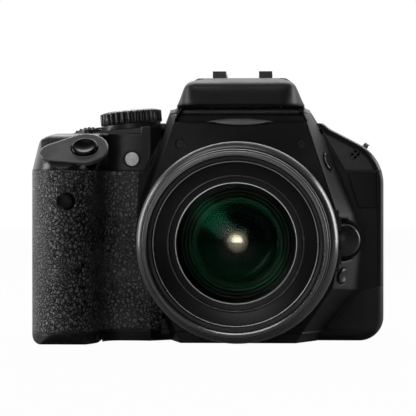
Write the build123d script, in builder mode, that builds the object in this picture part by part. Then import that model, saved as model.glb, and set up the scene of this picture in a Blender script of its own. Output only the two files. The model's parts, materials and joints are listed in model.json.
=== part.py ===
"""Digital single-lens reflex camera with a zoom lens, as an assembly of separate pieces.

Frame: the tripod socket's mouth is the origin, +Z is up, the lens points along -Y and the grip is
at -X.  All sizes are millimetres.  "forward" is a distance in front of the X-Z plane, so a plane
LENS.offset(forward) faces the subject and extrudes towards it.
"""

import os
from math import atan2, cos, radians, sin

from build123d import *

os.makedirs("parts", exist_ok=True)

# ---------------------------------------------------------------- driving dimensions
# Casing
grip_side = 78.4  # from the lens axis to the outside of the grip
free_side = 52.9  # from the lens axis to the other side
back = 30.0  # from the X-Z plane to the back of the casing
core_forward = 14.0  # front of the thin part of the casing
facade_forward = 26.0  # front of the mirror box housing
grip_forward = 40.0  # most forward point of the grip
shoulder_z = 76.0  # top of the casing on the grip side
deck_z = 79.0  # top of the casing beside the hump
hump_top = 98.6  # top of the prism hump
hump_half = 18.0  # half width of the hump's flat top
hump_foot_half = 27.4  # half width of the hump at its foot
wall = 2.2  # casing thickness
seam_z = 63.0  # joint between the front and top covers
facade_top_z = hump_top - 14.6  # top of the front cover between the hump's feet
rear_seam_z = 73.2  # joint between the rear and top covers
seam_back = 5.0  # joint between the front and rear covers, behind the X-Z plane
base_height = 4.0  # height of the base cover
skin = 1.2  # thickness of the glued rubber skins
gap = 0.3  # clearance between pieces that move past each other
fit = 0.1  # clearance between pieces that are fixed together

# Lens mount and optics of the body
axis_z = 37.8  # height of the lens axis
flange_forward = 28.0
sensor_back = 16.0
throat_radius = 27.0
mount_radius = 31.0
mount_thickness = 2.8  # mount ring, from the flange back into the facade
TABS = (90, 210, 330)  # middle of each bayonet tab, in degrees
tab_spread = 55
tab_depth = 2.1
tab_thickness = 2.0

# Flash lid
lid_z = hump_top - 12.2  # lower edge of the lid
lid_back = 8.6  # rear wall of the lid, in front of the X-Z plane
lid_bevel = 1.3  # the lid's rear edge leans forward so that it clears the cover as it rises
lid_pivot_forward = 3.0
lid_pivot_z = hump_top - 2.4
lid_barrel = 2.2
lid_barrel_half = 14.0

scoop_forward = 20.0  # how far the facade steps back under the lid
scoop_z = lid_z - 5.5

# Controls
release_x = -56.6  # shutter button
release_forward = 31.3
release_radius = 4.9
dial_x = -57.0  # main dial
dial_z = 68.5
dial_radius = 11.5
dial_forward = 9.0
dial_width = 6.0
mode_x = -42.5  # mode dial
mode_back = 5.0
mode_radius = 11.8
lock_x = 37.5  # lens release button
lock_radius = 6.0
pin_x = 29.0  # lock pin
pin_radius = 0.9

# Grip top
slope_forward = 24.0  # front edge of the flat deck above the grip
slope_z = 77.0
slope_nose_forward = 44.3
slope_nose_z = 60.0
grip_lean = 4.2  # how far the grip's walls lean inwards above the seam, over lean_height
lean_height = 18.0

# Screen
screen_pivot_x = free_side - 3.8
screen_pivot_back = 26.6
screen_knuckle = 3.2
recess_back = 22.3  # floor of the screen's recess
screen_inner_x = screen_pivot_x - 3.5
screen_outer_x = -27.0
screen_low_z = 10.0
screen_high_z = 67.0

# Lens
slide_radius = 29.8  # outside of the tube that carries the front group
bore_radius = slide_radius - 2.4
rim_radius = slide_radius + 0.5
filter_radius = rim_radius - 1.7
focus_radius = slide_radius + 1.2
sleeve_radius = slide_radius + 1.8  # fixed sleeve that the zoom ring turns on
fixed_radius = sleeve_radius + 2.4
zoom_radius = sleeve_radius + 2.65
zoom_back = 46.5
zoom_front = 75.0
focus_back = 78.3
focus_front = 96.0
lens_front = 98.0

LENS = Plane.XZ  # local x is X, local y is Z, normal towards the subject
SIDE = Plane.YZ  # local x is Y, local y is Z, normal along +X


def write(builder, name):
    """Labels a finished piece and writes its STEP file."""
    builder.part.label = name
    export_step(builder.part, f"parts/{name}.step")


def outline(corners, inset=0.0):
    """A closed sketch from (u, v, corner radius) corners, moved inwards by inset."""
    with BuildSketch() as shape:
        with BuildLine():
            FilletPolyline(*[c[:2] for c in corners], radius=[c[2] for c in corners], close=True)
        make_face()
        if inset:
            offset(amount=-inset, kind=Kind.INTERSECTION)
    return shape.sketch


def polygon(*points):
    """A closed sketch with sharp corners."""
    return outline([(u, v, 0) for u, v in points])


def prism(plane, sketch, amount):
    """A sketch raised from a plane."""
    with BuildPart() as block:
        with BuildSketch(plane):
            add(sketch)
        extrude(amount=amount)
    return block.part


def block(x, y, z):
    """A box given by its limits along X, Y and Z."""
    with BuildPart() as shape:
        with Locations((x[0], y[0], z[0])):
            Box(x[1] - x[0], y[1] - y[0], z[1] - z[0], align=Align.MIN)
    return shape.part


def rod(plane, radius, length, hole=0.0):
    """A cylinder or tube that stands on a plane's origin."""
    with BuildPart() as shape:
        with BuildSketch(plane):
            Circle(radius)
            if hole:
                Circle(hole, mode=Mode.SUBTRACT)
        extrude(amount=length)
    return shape.part


def turned(points):
    """A body of revolution about the lens axis from (radius, forward) points."""
    with BuildPart() as shape:
        with BuildSketch(Plane.XY.offset(axis_z)):
            with BuildLine():
                Polyline(*[(r, -f) for r, f in points], close=True)
            make_face()
        revolve(axis=Axis((0, 0, axis_z), (0, 1, 0)))
    return shape.part


def sector(inner, outer, middle, spread):
    """A ring sector about the lens axis, in the local frame of a plane on that axis."""
    with BuildSketch() as shape:
        Circle(outer)
        Circle(inner, mode=Mode.SUBTRACT)
        with BuildLine():
            reach = 3 * outer
            first = radians(middle - spread / 2)
            last = radians(middle + spread / 2)
            Polyline(
                (0, 0),
                (reach * cos(first), reach * sin(first)),
                (reach * cos(last), reach * sin(last)),
                close=True,
            )
        make_face(mode=Mode.INTERSECT)
    return shape.sketch


def at(x, forward, z, direction=(0, -1, 0)):
    """A plane with its origin at a point, facing a direction, its local x along X where it can be."""
    normal = Vector(*direction).normalized()
    side = Vector(1, 0, 0) if abs(normal.X) < 0.9 else Vector(0, 1, 0)
    return Plane(origin=(x, -forward, z), x_dir=side - normal * side.dot(normal), z_dir=normal)


# ---------------------------------------------------------------- casing envelope
FRONT_VIEW = [
    (-grip_side, 0, 6),
    (free_side, 0, 9),
    (free_side, 68.6, 17),
    (33, deck_z, 8),
    (26, deck_z + 5.5, 0),
    (-26, deck_z + 5.5, 0),
    (-31, deck_z + 1.3, 4),
    (-grip_side, shoulder_z, 13),
]


NOSE = [
    (-grip_side - 0.7, -9),
    (2.3 - grip_side, -27),
    (8.2 - grip_side, 2.6 - grip_forward),
    (-64.5, -grip_forward),
    (-57.2, 3.6 - grip_forward),
    (-52.4, -26),
    (-48.4, -16.8),
    (-42.5, -15.6),
    (-34, -16.6),
]


def plan(inset=0.0, points=NOSE):
    """Plan section of the casing's front, with the nose of the grip moved inwards by inset."""
    with BuildSketch() as shape:
        with BuildLine():
            outer = Spline(*points, mode=Mode.PRIVATE)
            steps = [n / 24 for n in range(25)]
            nose = Spline(*[outer @ t + Vector(0, 0, inset).cross(outer % t) for t in steps])
            Polyline(
                nose @ 1,
                (-30, inset - core_forward),
                (free_side + 6, inset - core_forward),
                (free_side + 6, back + 10),
                (-grip_side - 10, back + 10),
                (-grip_side - 10, (nose @ 0).Y),
                nose @ 0,
            )
        make_face()
    return shape.sketch


def walls():
    """The casing's plan raised to the seam, and above it with the grip's nose leaning inwards."""
    share = [(1, 0), (0.9, 0.75), (0.65, 1), (0.3, 1), (-0.2, 0.8), (-0.15, 0.3), (0, 0), (0, 0), (0, 0)]
    leaning = [(x + grip_lean * u, y + grip_lean * v) for (x, y), (u, v) in zip(NOSE, share)]
    with BuildPart() as shape:
        with BuildSketch(Plane.XY.offset(-5)):
            add(plan())
        extrude(amount=seam_z + 5)
        with BuildSketch(Plane.XY.offset(seam_z)):
            add(plan())
        with BuildSketch(Plane.XY.offset(seam_z + lean_height)):
            add(plan(points=leaning))
        loft()
    return shape.part


def body():
    """Core and grip: the front view and the plan section meet, and the grip's top slopes."""
    slope = [
        (-slope_forward, slope_z, 9),
        (-slope_nose_forward, slope_nose_z, 4),
        (-60, slope_nose_z, 0),
        (-60, 100, 0),
        (-10, 100, 0),
        (-10, slope_z, 0),
    ]
    with BuildPart() as shape:
        with BuildSketch(LENS.offset(-back)):
            add(outline(FRONT_VIEW))
        extrude(amount=back + grip_forward + 10)
        fillet(shape.faces().sort_by(Axis.Y)[-1].edges(), 5)
        add(walls(), mode=Mode.INTERSECT)
        front = -core_forward
        edges = shape.edges().filter_by_position(Axis.Y, front - 0.01, front + 0.01)
        fillet(edges.filter_by_position(Axis.X, 27, 100), 2.5)
        with BuildSketch(SIDE.offset(-grip_side - 5)):
            add(outline(slope))
            add(polygon((-45, -5), (5 - grip_forward, -5), (5 - grip_forward, 0), (-45, 8)))
        extrude(amount=46, mode=Mode.SUBTRACT)
    return shape.part


FACADE = [
    (22.5, 86),
    (25.8, 76),
    (35.4, 47.4),
    (36.3, 33),
    (33.5, 20),
    (20, 0),
    (-22, 0),
    (-26.5, 10),
    (-36.3, 35),
    (-34.6, 52.8),
    (-22.5, 86),
]
SPREAD = [(2.8, 0), (5.6, 0), (7.5, 0), (9, 0), (10.5, -1), (8, 0), (-4, 0), (-3, 0), (-3.2, 0)] + [(-4, 0)] * 2


def tower(inset=0.0):
    """The mirror box housing: a flat facade whose side walls spread towards the core."""
    foot = [(x + dx, z + dz) for (x, z), (dx, dz) in zip(FACADE, SPREAD)]
    with BuildPart() as shape:
        for forward, points in ((facade_forward - inset, FACADE), (core_forward - 1, foot)):
            with BuildSketch(LENS.offset(forward)):
                add(outline([(x, z, 0) for x, z in points], inset))
        loft(ruled=True)
    return shape.part


def hump():
    """The prism hump, from its rear face to the tip of the flash lid."""
    front_view = [
        (hump_foot_half, deck_z - 1, 0),
        (hump_half, hump_top, 6),
        (-hump_half, hump_top, 6),
        (-hump_foot_half, deck_z - 1, 0),
    ]
    side_view = [
        (back, deck_z - 9, 0),
        (back, hump_top, 6),
        (-4, hump_top, 20),
        (-37, hump_top - 3.6, 4),
        (-38.5, lid_z, 0),
        (-facade_forward, lid_z, 0),
        (-facade_forward, deck_z - 9, 0),
    ]
    top_view = [
        (-30, back, 3),
        (30, back, 3),
        (26.5, -14, 0),
        (19.5, -39, 9),
        (-19.5, -39, 9),
        (-26.5, -14, 0),
    ]
    with BuildPart() as shape:
        with BuildSketch(LENS.offset(-back - 1)):
            add(outline(front_view))
        extrude(amount=back + 45)
        with BuildSketch(SIDE.offset(-40)):
            add(outline(side_view))
        extrude(amount=80, mode=Mode.INTERSECT)
        with BuildSketch(Plane.XY.offset(60)):
            add(outline(top_view))
        extrude(amount=50, mode=Mode.INTERSECT)
    return shape.part


with BuildPart() as envelope:
    add(body())
    add(tower())
    add(hump())

# ---------------------------------------------------------------- inner space
with BuildPart() as cavity:
    with BuildSketch(Plane.XY.offset(wall + 0.3)):
        add(
            polygon(
                (-grip_side + wall + 0.6, -10),
                (5.0 - grip_side, -25.5),
                (10.6 - grip_side, -32.6),
                (-64.2, wall + 1.6 - grip_forward),
                (-59.6, -33),
                (-54.4, -27),
                (-54.2, 0.2 + wall - core_forward),
                (free_side - wall, 0.2 + wall - core_forward),
                (free_side - wall, back - wall),
                (-grip_side + wall + 0.6, back - wall),
            )
        )
    extrude(amount=100)
    with BuildSketch(LENS.offset(-back)):
        add(outline(FRONT_VIEW, wall + 0.4))
    extrude(amount=back + grip_forward, mode=Mode.INTERSECT)
    with BuildSketch(SIDE.offset(-grip_side)):
        add(polygon((-slope_forward + 0.6, 90), (-slope_forward + 0.6, 73.4), (-46, 54.6), (-46, 90)))
    extrude(amount=60, mode=Mode.SUBTRACT)
    add(tower(wall))
    add(block((-30, 30), (-16, -9), (8, scoop_z - wall)))
    add(block((-30, 30), (-facade_forward, -scoop_forward + wall), (scoop_z - wall, 90)), mode=Mode.SUBTRACT)
    with BuildSketch(LENS.offset(-back + wall)):
        top = hump_top - 0.4 - wall
        add(polygon((25, deck_z - 9), (17.6, top), (-17.6, top), (-25, deck_z - 9)))
    extrude(amount=back - wall + 1.5)
    # the rear wall steps forward around the screen's recess
    add(
        block(
            (screen_outer_x - gap - wall, free_side),
            (recess_back - wall, back),
            (0, screen_high_z + gap + wall),
        ),
        mode=Mode.SUBTRACT,
    )

with BuildPart() as shell:
    add(envelope.part)
    add(cavity.part, mode=Mode.SUBTRACT)

# ---------------------------------------------------------------- shared places
slope_angle = atan2(slope_z - slope_nose_z, slope_nose_forward - slope_forward)
lug_sink = 1.5  # how far the strap brackets sit below the shoulders
SLOPE_NORMAL = (0, -sin(slope_angle), cos(slope_angle))
release_z = slope_z - (release_forward - slope_forward) * (SLOPE_NORMAL[1] / -SLOPE_NORMAL[2])
SHUTTER = at(release_x, release_forward, release_z, SLOPE_NORMAL)
deck_slope = (deck_z + 1.3 - shoulder_z) / (grip_side - 31)
MODE_DIAL = at(
    mode_x,
    -mode_back,
    deck_z + 1.3 + (mode_x + 31) * deck_slope,
    (-deck_slope, 0, 1),
)
FLASH_WALL = at(31.9, 19.9, 66.5, (0.857, -0.409, 0.315))
PREVIEW_WALL = at(37.0, 22.5, 24.5, (0.809, -0.560, -0.174))
LEFT_SHOULDER = at(4.7 - grip_side, -2, 73.6, (-0.64, 0, 0.77)).offset(-lug_sink)
RIGHT_SHOULDER = at(free_side - 6.1, -2, 72.9, (0.64, 0, 0.77)).offset(-lug_sink)


def button(name, plane, radius, rise, thickness, travel_room=0.0):
    """A round push button: head through the cover, retaining flange and guide stem behind."""
    with BuildPart() as shape:
        with BuildSketch(plane.offset(-thickness - gap)):
            Circle(radius)
        extrude(amount=thickness + gap + rise)
        top = shape.faces().sort_by(Axis(plane.origin, plane.z_dir))[-1]
        fillet(top.edges(), min(0.4, radius / 4))
        with BuildSketch(plane.offset(-thickness - gap - 0.8)):
            Circle(radius + 0.7)
        extrude(amount=0.8)
    write(shape, name)


def button_hole(plane, radius, thickness):
    """The opening that a button's head passes through, with room for its flange."""
    with BuildPart() as shape:
        with BuildSketch(plane.offset(-thickness - 3)):
            Circle(radius + gap)
        extrude(amount=thickness + 6)
        with BuildSketch(plane.offset(-thickness - 6)):
            Circle(radius + 0.7 + gap)
        extrude(amount=6)
    return shape.part


def back_at(x, z):
    """A place on the rear face, facing backwards."""
    return Plane(origin=(x, back, z), x_dir=(-1, 0, 0), z_dir=(0, 1, 0))


# ---------------------------------------------------------------- cutting tools
with BuildPart() as top_zone:
    seam = polygon(
        (-100, seam_z),
        (-36, seam_z),
        (-26, facade_top_z),
        (26, facade_top_z),
        (38.5, seam_z),
        (100, seam_z),
        (100, 120),
        (-100, 120),
    )
    add(prism(LENS.offset(-seam_back), seam, 60))
    add(block((-100, 100), (seam_back, 60), (rear_seam_z, 120)))

with BuildPart() as skin_zone:
    edge = polygon(
        (-90, base_height + 0.5),
        (-31.7, base_height + 0.5),
        (-29.2, 10.1),
        (-39.3, 35.8),
        (-38.2, seam_z),
        (-90, seam_z),
    )
    add(prism(LENS, edge, 60))
    add(prism(Plane.XY.offset(-1), plan(skin), 80), mode=Mode.SUBTRACT)

with BuildPart() as side_skin_zone:
    edge = polygon((31, base_height + 0.4), (36.5, 9), (45, 18.6), (60, 22.5), (60, base_height + 0.4))
    add(prism(LENS.offset(core_forward - skin), edge, 5))

with BuildPart() as thumb_zone:
    edge = outline([(-73, 44, 3), (-55, 44, 3), (-55, 61, 5), (-61, 66, 4), (-73, 66, 3)])
    add(prism(LENS.offset(-back + skin), edge, -5))


def lid_zone(clearance):
    """Everything in front of the lid's rear wall and above its lower edge, with its hinge barrel."""
    rear = lid_back - clearance
    low = lid_z - clearance
    wing = polygon((-50, low), (-rear, low), (-rear, 110), (-50, 110))
    bridge = polygon(
        (-rear - 1, lid_pivot_z - lid_barrel - clearance),
        (-lid_pivot_forward, lid_pivot_z - lid_barrel - clearance),
        (-lid_pivot_forward, 110),
        (-rear - 1, 110),
    )
    half = lid_barrel_half + clearance
    with BuildPart() as shape:
        add(prism(SIDE.offset(-50), wing, 100))
        add(prism(SIDE.offset(-half), bridge, 2 * half))
        add(rod(LID_PIVOT.offset(-half), lid_barrel + 3 * clearance, 2 * half))
    return shape.part


LID_PIVOT = Plane(origin=(0, -lid_pivot_forward, lid_pivot_z), x_dir=(0, 1, 0), z_dir=(1, 0, 0))

with BuildPart() as scoop:
    mouth = outline([(-20.5, lid_z + 1, 3), (20.5, lid_z + 1, 3), (24.5, scoop_z, 0), (-24.5, scoop_z, 0)])
    add(prism(LENS.offset(scoop_forward), mouth, 20))
    # a shallow curved bevel in the middle of the lower edge
    bevel_radius = 102
    tilt = Vector(0, -1, 1).normalized()
    centre = Vector(0, -facade_forward, scoop_z) + tilt * (bevel_radius - 0.95)
    bevel = rod(Plane(origin=centre, x_dir=(1, 0, 0), z_dir=(0, 1, 1)).offset(-6), bevel_radius, 12)
    add(bevel.intersect(block((-14, 14), (-40, -22), (76, 83))))

fasteners = [
    at(-22.1, facade_forward, 72.9),
    at(22.1, facade_forward, 72.9),
    *[at(29 * cos(radians(a)), flange_forward, axis_z + 29 * sin(radians(a))) for a in (45, 135, 225, 315)],
    *[at(x, forward, 0, (0, 0, -1)) for x, forward in ((-44, 8), (-44, -22), (44, 8), (44, -22))],
]


def fastener_set(clearance):
    """Countersunk cover screws, or the holes that they sit in."""
    with BuildPart() as shape:
        for plane in fasteners:
            with BuildSketch(plane.offset(-3.5 - clearance)):
                Circle(0.8 + clearance)
            extrude(amount=3.5 + clearance)
            with BuildSketch(plane.offset(-1.0 - clearance)):
                Circle(1.5 + clearance)
            extrude(amount=1.0 + clearance + (1.0 if clearance else -0.05))
    return shape.part


with BuildPart() as screws:
    add(fastener_set(0))
    for plane in fasteners:
        with BuildSketch(plane.offset(-0.6)):
            Rectangle(1.8, 0.4)
            Rectangle(0.4, 1.8)
        extrude(amount=1, mode=Mode.SUBTRACT)
write(screws, "screws")
screw_holes = fastener_set(fit)

# ---------------------------------------------------------------- lens release and mount
LOCK = at(lock_x, 0, axis_z)  # offset(forward) stands on the release button's axis
PIN = at(pin_x, 0, axis_z)
AXIS = at(0, 0, axis_z)

with BuildPart() as lens_release_button:
    add(rod(LOCK.offset(17.3), lock_radius, 3.3))
    fillet(lens_release_button.faces().sort_by(Axis.Y)[0].edges(), 0.6)
    add(rod(LOCK.offset(9.6), 2, 8))
    add(block((pin_x - 1, lock_x + 2), (-11.7, -9.6), (axis_z - 1, axis_z + 1)))
    add(rod(PIN.offset(9.6), pin_radius, flange_forward + 1.6 - 9.6))
write(lens_release_button, "lens_release_button")

with BuildPart() as release_pocket:
    add(rod(LOCK.offset(19), 7.9, 12))
    add(rod(LOCK.offset(15), lock_radius + gap, 14))
    add(rod(LOCK.offset(8), 2 + gap, 12))
    add(rod(PIN.offset(8), pin_radius + gap, 25))
    add(
        block(
            (pin_x - 1 - gap, lock_x + 2 + gap),
            (-11.7 - gap, -8),
            (axis_z - 1 - gap, axis_z + 1 + gap),
        )
    )

with BuildPart() as mount_ring:
    add(rod(AXIS.offset(flange_forward - mount_thickness), mount_radius, mount_thickness, throat_radius))
    for middle in TABS:
        tab = sector(throat_radius - tab_depth, throat_radius + 0.2, middle, tab_spread)
        add(prism(AXIS.offset(flange_forward - tab_thickness), tab, tab_thickness))
    add(rod(PIN.offset(20), pin_radius + gap, 12), mode=Mode.SUBTRACT)
    add(screw_holes, mode=Mode.SUBTRACT)
write(mount_ring, "mount_ring")

# ---------------------------------------------------------------- casing covers
badge_right = free_side - 2.6
BADGE = [(39.6, 62.4, 0), (badge_right, 62.4, 0), (badge_right, 49.4, 0), (43.6, 49.4, 0)]
badge_seat = 0.6

with BuildPart() as front_cover:
    add(shell.part)
    add(top_zone.part, mode=Mode.SUBTRACT)
    add(block((-100, 100), (seam_back, 60), (-10, 120)), mode=Mode.SUBTRACT)
    add(block((-100, 100), (-60, 60), (-10, base_height)), mode=Mode.SUBTRACT)
    add(skin_zone.part, mode=Mode.SUBTRACT)
    add(side_skin_zone.part, mode=Mode.SUBTRACT)
    add(lid_zone(gap), mode=Mode.SUBTRACT)
    add(scoop.part, mode=Mode.SUBTRACT)
    add(rod(LOCK.offset(12), 7.6, 7))
    add(release_pocket.part, mode=Mode.SUBTRACT)
    add(rod(AXIS.offset(10), throat_radius, 20), mode=Mode.SUBTRACT)
    add(rod(AXIS.offset(flange_forward - mount_thickness), mount_radius + fit, 5), mode=Mode.SUBTRACT)
    add(screw_holes, mode=Mode.SUBTRACT)
    add(button_hole(FLASH_WALL, 3.3, 1.9), mode=Mode.SUBTRACT)
    add(button_hole(PREVIEW_WALL, 2.8, 1.9), mode=Mode.SUBTRACT)
    add(rod(SHUTTER.offset(-8), release_radius + 1.3, 5.6), mode=Mode.SUBTRACT)
    add(prism(LENS.offset(core_forward - badge_seat), outline(BADGE), 5), mode=Mode.SUBTRACT)
write(front_cover, "front_cover")

with BuildPart() as badge_plate:
    add(prism(LENS.offset(core_forward - badge_seat), outline(BADGE, fit), badge_seat + 0.2))
write(badge_plate, "badge_plate")

with BuildPart() as grip_rubber:
    add(envelope.part)
    add(skin_zone.part, mode=Mode.INTERSECT)
    add(rod(at(-62.4, 30, 51.8), 3.2, 20), mode=Mode.SUBTRACT)
write(grip_rubber, "grip_rubber")

SURROUND = ((0, 0, 8.6), (-11.2, -2.3, 5.0))  # circles around the button and beside it


def surround(rise, depth, extra=0.0):
    """The oval plate around the shutter button."""
    with BuildPart() as shape:
        with BuildSketch(SHUTTER.offset(-depth)):
            for u, v, radius in SURROUND:
                with Locations((u, v)):
                    Circle(radius + extra)
            make_hull()
        extrude(amount=depth + rise)
    return shape.part


with BuildPart() as shutter_surround:
    add(surround(0.7, 0.8))
    fillet(shutter_surround.faces().sort_by(Axis(SHUTTER.origin, SHUTTER.z_dir))[-1].edges(), 0.4)
    add(rod(SHUTTER.offset(-2), release_radius + gap, 4), mode=Mode.SUBTRACT)
write(shutter_surround, "shutter_surround")

with BuildPart() as shutter_button:
    add(rod(SHUTTER.offset(-3), release_radius, 4.6))
    fillet(shutter_button.faces().sort_by(Axis(SHUTTER.origin, SHUTTER.z_dir))[-1].edges(), 0.9)
    add(rod(SHUTTER.offset(-3.7), release_radius + 0.9, 0.8))
write(shutter_button, "shutter_button")

MAIN_DIAL = at(dial_x, dial_forward - dial_width, dial_z)
ISO = at(dial_x, 17.5, deck_z + 1.3 + (dial_x + 31) * deck_slope, (-deck_slope, 0, 1))
LAMP = at(-40.7, 14.6, 67.6)
axle_radius = 1.5

with BuildPart() as main_dial:
    with BuildSketch(MAIN_DIAL):
        Circle(dial_radius)
        with PolarLocations(dial_radius + 0.1, 42):
            Circle(0.45, mode=Mode.SUBTRACT)
    extrude(amount=dial_width)
    add(rod(MAIN_DIAL.offset(-2.2), axle_radius, dial_width + 4.4))
write(main_dial, "main_dial")

lever_radius = 11.2
shaft_radius = 3.0
knob_low = 2.5
knob_high = 7.4

with BuildPart() as mode_dial:
    with BuildSketch(MODE_DIAL.offset(knob_low)):
        Circle(mode_radius)
        with PolarLocations(mode_radius + 0.35, 30):
            Circle(0.8, mode=Mode.SUBTRACT)
    extrude(amount=knob_high - knob_low - 0.6)
    with BuildSketch(MODE_DIAL.offset(knob_high - 0.7)):
        Circle(mode_radius - 0.6)
    extrude(amount=0.7)
    add(rod(MODE_DIAL.offset(-6), shaft_radius, knob_low + 6.5))
    add(rod(MODE_DIAL.offset(-4.4), shaft_radius + 2, 1))
write(mode_dial, "mode_dial")

with BuildPart() as power_lever:
    with BuildSketch(MODE_DIAL.offset(gap)):
        Circle(lever_radius)
        with Locations((-7.2, 0)):
            SlotOverall(18.8, 4.4)
        Circle(shaft_radius + fit, mode=Mode.SUBTRACT)
    extrude(amount=knob_low - 2 * gap)
write(power_lever, "power_lever")

hinge_pin = 0.8

with BuildPart() as flash_head:
    add(hump())
    add(lid_zone(0), mode=Mode.INTERSECT)
    bevel_foot = lid_pivot_z - lid_barrel
    rear_bevel = polygon(
        (-lid_back, bevel_foot),
        (-lid_back - lid_bevel, hump_top),
        (0, hump_top),
        (0, bevel_foot),
    )
    for start in (-30, lid_barrel_half):
        add(prism(SIDE.offset(start), rear_bevel, 30 - lid_barrel_half), mode=Mode.SUBTRACT)
    add(block((-15.1, 15.1), (-33.1, -13), (lid_z - 1, hump_top - 6.6)), mode=Mode.SUBTRACT)
    add(rod(LID_PIVOT.offset(-lid_barrel_half - 2), hinge_pin, 2 * lid_barrel_half + 4))
write(flash_head, "flash_head")

with BuildPart() as flash_window:
    add(block((-15, 15), (-33, -19), (lid_z + 0.2, lid_z + 1.8)))
write(flash_window, "flash_window")

shoe_x = 11.35
shoe_front = 1.5
shoe_back = 20.5
foot_half = 9.35

with BuildPart() as hot_shoe:
    add(block((-shoe_x, shoe_x), (shoe_front, shoe_back), (hump_top - 1.6, hump_top + 3)))
    slot = block((-foot_half, foot_half), (shoe_front + 1, 30), (hump_top - 0.4, hump_top + 1.7))
    add(slot, mode=Mode.SUBTRACT)
    add(block((-6.3, 6.3), (0, 30), (hump_top - 0.4, hump_top + 4)), mode=Mode.SUBTRACT)
write(hot_shoe, "hot_shoe")

eyepiece_room = hump_top - screen_high_z  # what the hump leaves above the screen
eyepiece_z = screen_high_z + eyepiece_room / 2 - 2.3
eyecup_height = eyepiece_room - 9.6
eyepiece_half = eyecup_height / 2 - 3.8  # half height of the opening behind the eyecup
EYEPIECE = Plane(origin=(0, back, eyepiece_z), x_dir=(-1, 0, 0), z_dir=(0, 1, 0))

with BuildPart() as eyecup:
    with BuildSketch(EYEPIECE):
        RectangleRounded(36, eyecup_height, eyecup_height * 0.27)
    with BuildSketch(EYEPIECE.offset(9.7)):
        RectangleRounded(33, eyecup_height - 2, eyecup_height * 0.27)
    loft()
    with BuildSketch(EYEPIECE):
        RectangleRounded(22.6, 2 * eyepiece_half + 0.4, eyepiece_half * 0.4)
    with BuildSketch(EYEPIECE.offset(9.7)):
        RectangleRounded(27, 2 * eyepiece_half + 1.6, eyepiece_half * 0.5)
    loft(mode=Mode.SUBTRACT)
write(eyecup, "eyecup")

with BuildPart() as viewfinder_optics:
    add(block((-15.4, 15.4), (-19.9, 3.9), (54, 55.5)))
    prism_top = hump_top - 5.6
    prism_side = polygon(
        (-16, 56),
        (3.6, 56),
        (3.6, 59),
        (12, prism_top - 23),
        (12, prism_top - 5),
        (7, prism_top),
        (-0.8, prism_top),
        (-0.8, prism_top - 11),
        (-10, prism_top - 15.5),
        (-16, prism_top - 23),
    )
    add(prism(SIDE.offset(-14.5), prism_side, 29))
    low, high = eyepiece_z - eyepiece_half, eyepiece_z + eyepiece_half
    add(block((-10.9, 10.9), (12.4, back - 1.4), (low + fit, high - fit)))
write(viewfinder_optics, "viewfinder_optics")

DIOPTRE = back_at(-22.6, 78.5)
with BuildPart() as diopter_dial:
    with BuildSketch(DIOPTRE.offset(0.3)):
        Circle(3.2)
        with PolarLocations(3.3, 20):
            Circle(0.25, mode=Mode.SUBTRACT)
    extrude(amount=2.4)
    add(rod(DIOPTRE.offset(-3.4), 1.2, 4))
    add(rod(DIOPTRE.offset(-3.6), 2.0, 1))
write(diopter_dial, "diopter_dial")


def lug(plane):
    """A strap bracket that stands on a shoulder."""
    with BuildPart() as shape:
        with BuildSketch(Plane(origin=plane.origin, x_dir=(0, 1, 0), z_dir=plane.x_dir).offset(-1)):
            SlotOverall(12, 6)
            with Locations((0, 1.3)):
                SlotOverall(8, 1.6, mode=Mode.SUBTRACT)
        extrude(amount=2)
    return shape.part


with BuildPart() as strap_lugs:
    for plane in (LEFT_SHOULDER, RIGHT_SHOULDER):
        add(lug(plane))
write(strap_lugs, "strap_lugs")

with BuildPart() as lug_pockets:
    for plane in (LEFT_SHOULDER, RIGHT_SHOULDER):
        with BuildSketch(plane.offset(-0.3)):
            RectangleRounded(6, 9, 1.5)
        extrude(amount=6)

with BuildPart() as top_cover:
    add(shell.part)
    add(top_zone.part, mode=Mode.INTERSECT)
    add(lid_zone(gap), mode=Mode.SUBTRACT)
    pin_hole = rod(LID_PIVOT.offset(-lid_barrel_half - 2.5), hinge_pin + fit, 2 * lid_barrel_half + 5)
    add(pin_hole, mode=Mode.SUBTRACT)
    add(scoop.part, mode=Mode.SUBTRACT)
    add(surround(5, 0.8), mode=Mode.SUBTRACT)
    add(rod(SHUTTER.offset(-8), release_radius + gap, 12), mode=Mode.SUBTRACT)
    add(rod(SHUTTER.offset(-8), release_radius + 1.3, 5.2), mode=Mode.SUBTRACT)
    for forward in (dial_forward + 0.6, dial_forward - dial_width - 1.8):
        add(block((dial_x - 4, dial_x + 4), (-forward - 1.2, -forward), (dial_z - 3, 76)))
    add(rod(MAIN_DIAL.offset(-3), axle_radius + fit, dial_width + 6), mode=Mode.SUBTRACT)
    add(rod(MAIN_DIAL.offset(-0.4), dial_radius + 0.4, dial_width + 0.8), mode=Mode.SUBTRACT)
    add(rod(MODE_DIAL.offset(-8), shaft_radius + fit, 12), mode=Mode.SUBTRACT)
    add(rod(MODE_DIAL.offset(-8), shaft_radius + 2 + gap, 5), mode=Mode.SUBTRACT)
    add(button_hole(ISO, 2.2, 2.6), mode=Mode.SUBTRACT)
    add(rod(LAMP, 2.7, 6), mode=Mode.SUBTRACT)
    for x, z in ((1.1, 0), (0, 1.1), (-1.1, 0), (0, -1.1)):
        add(rod(at(42.3 + x, 5, 69.3 + z), 0.45, 12), mode=Mode.SUBTRACT)
    shoe_bed = block((-shoe_x, shoe_x), (shoe_front, shoe_back), (hump_top - 1.6, hump_top + 5))
    add(shoe_bed, mode=Mode.SUBTRACT)
    low, high = eyepiece_z - eyepiece_half, eyepiece_z + eyepiece_half
    add(block((-11, 11), (back - wall - 1, back + 1), (low, high)), mode=Mode.SUBTRACT)
    add(rod(DIOPTRE.offset(-6), 1.3, 8), mode=Mode.SUBTRACT)
    add(lug_pockets.part, mode=Mode.SUBTRACT)
    add(strap_lugs.part, mode=Mode.SUBTRACT)
write(top_cover, "top_cover")

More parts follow.
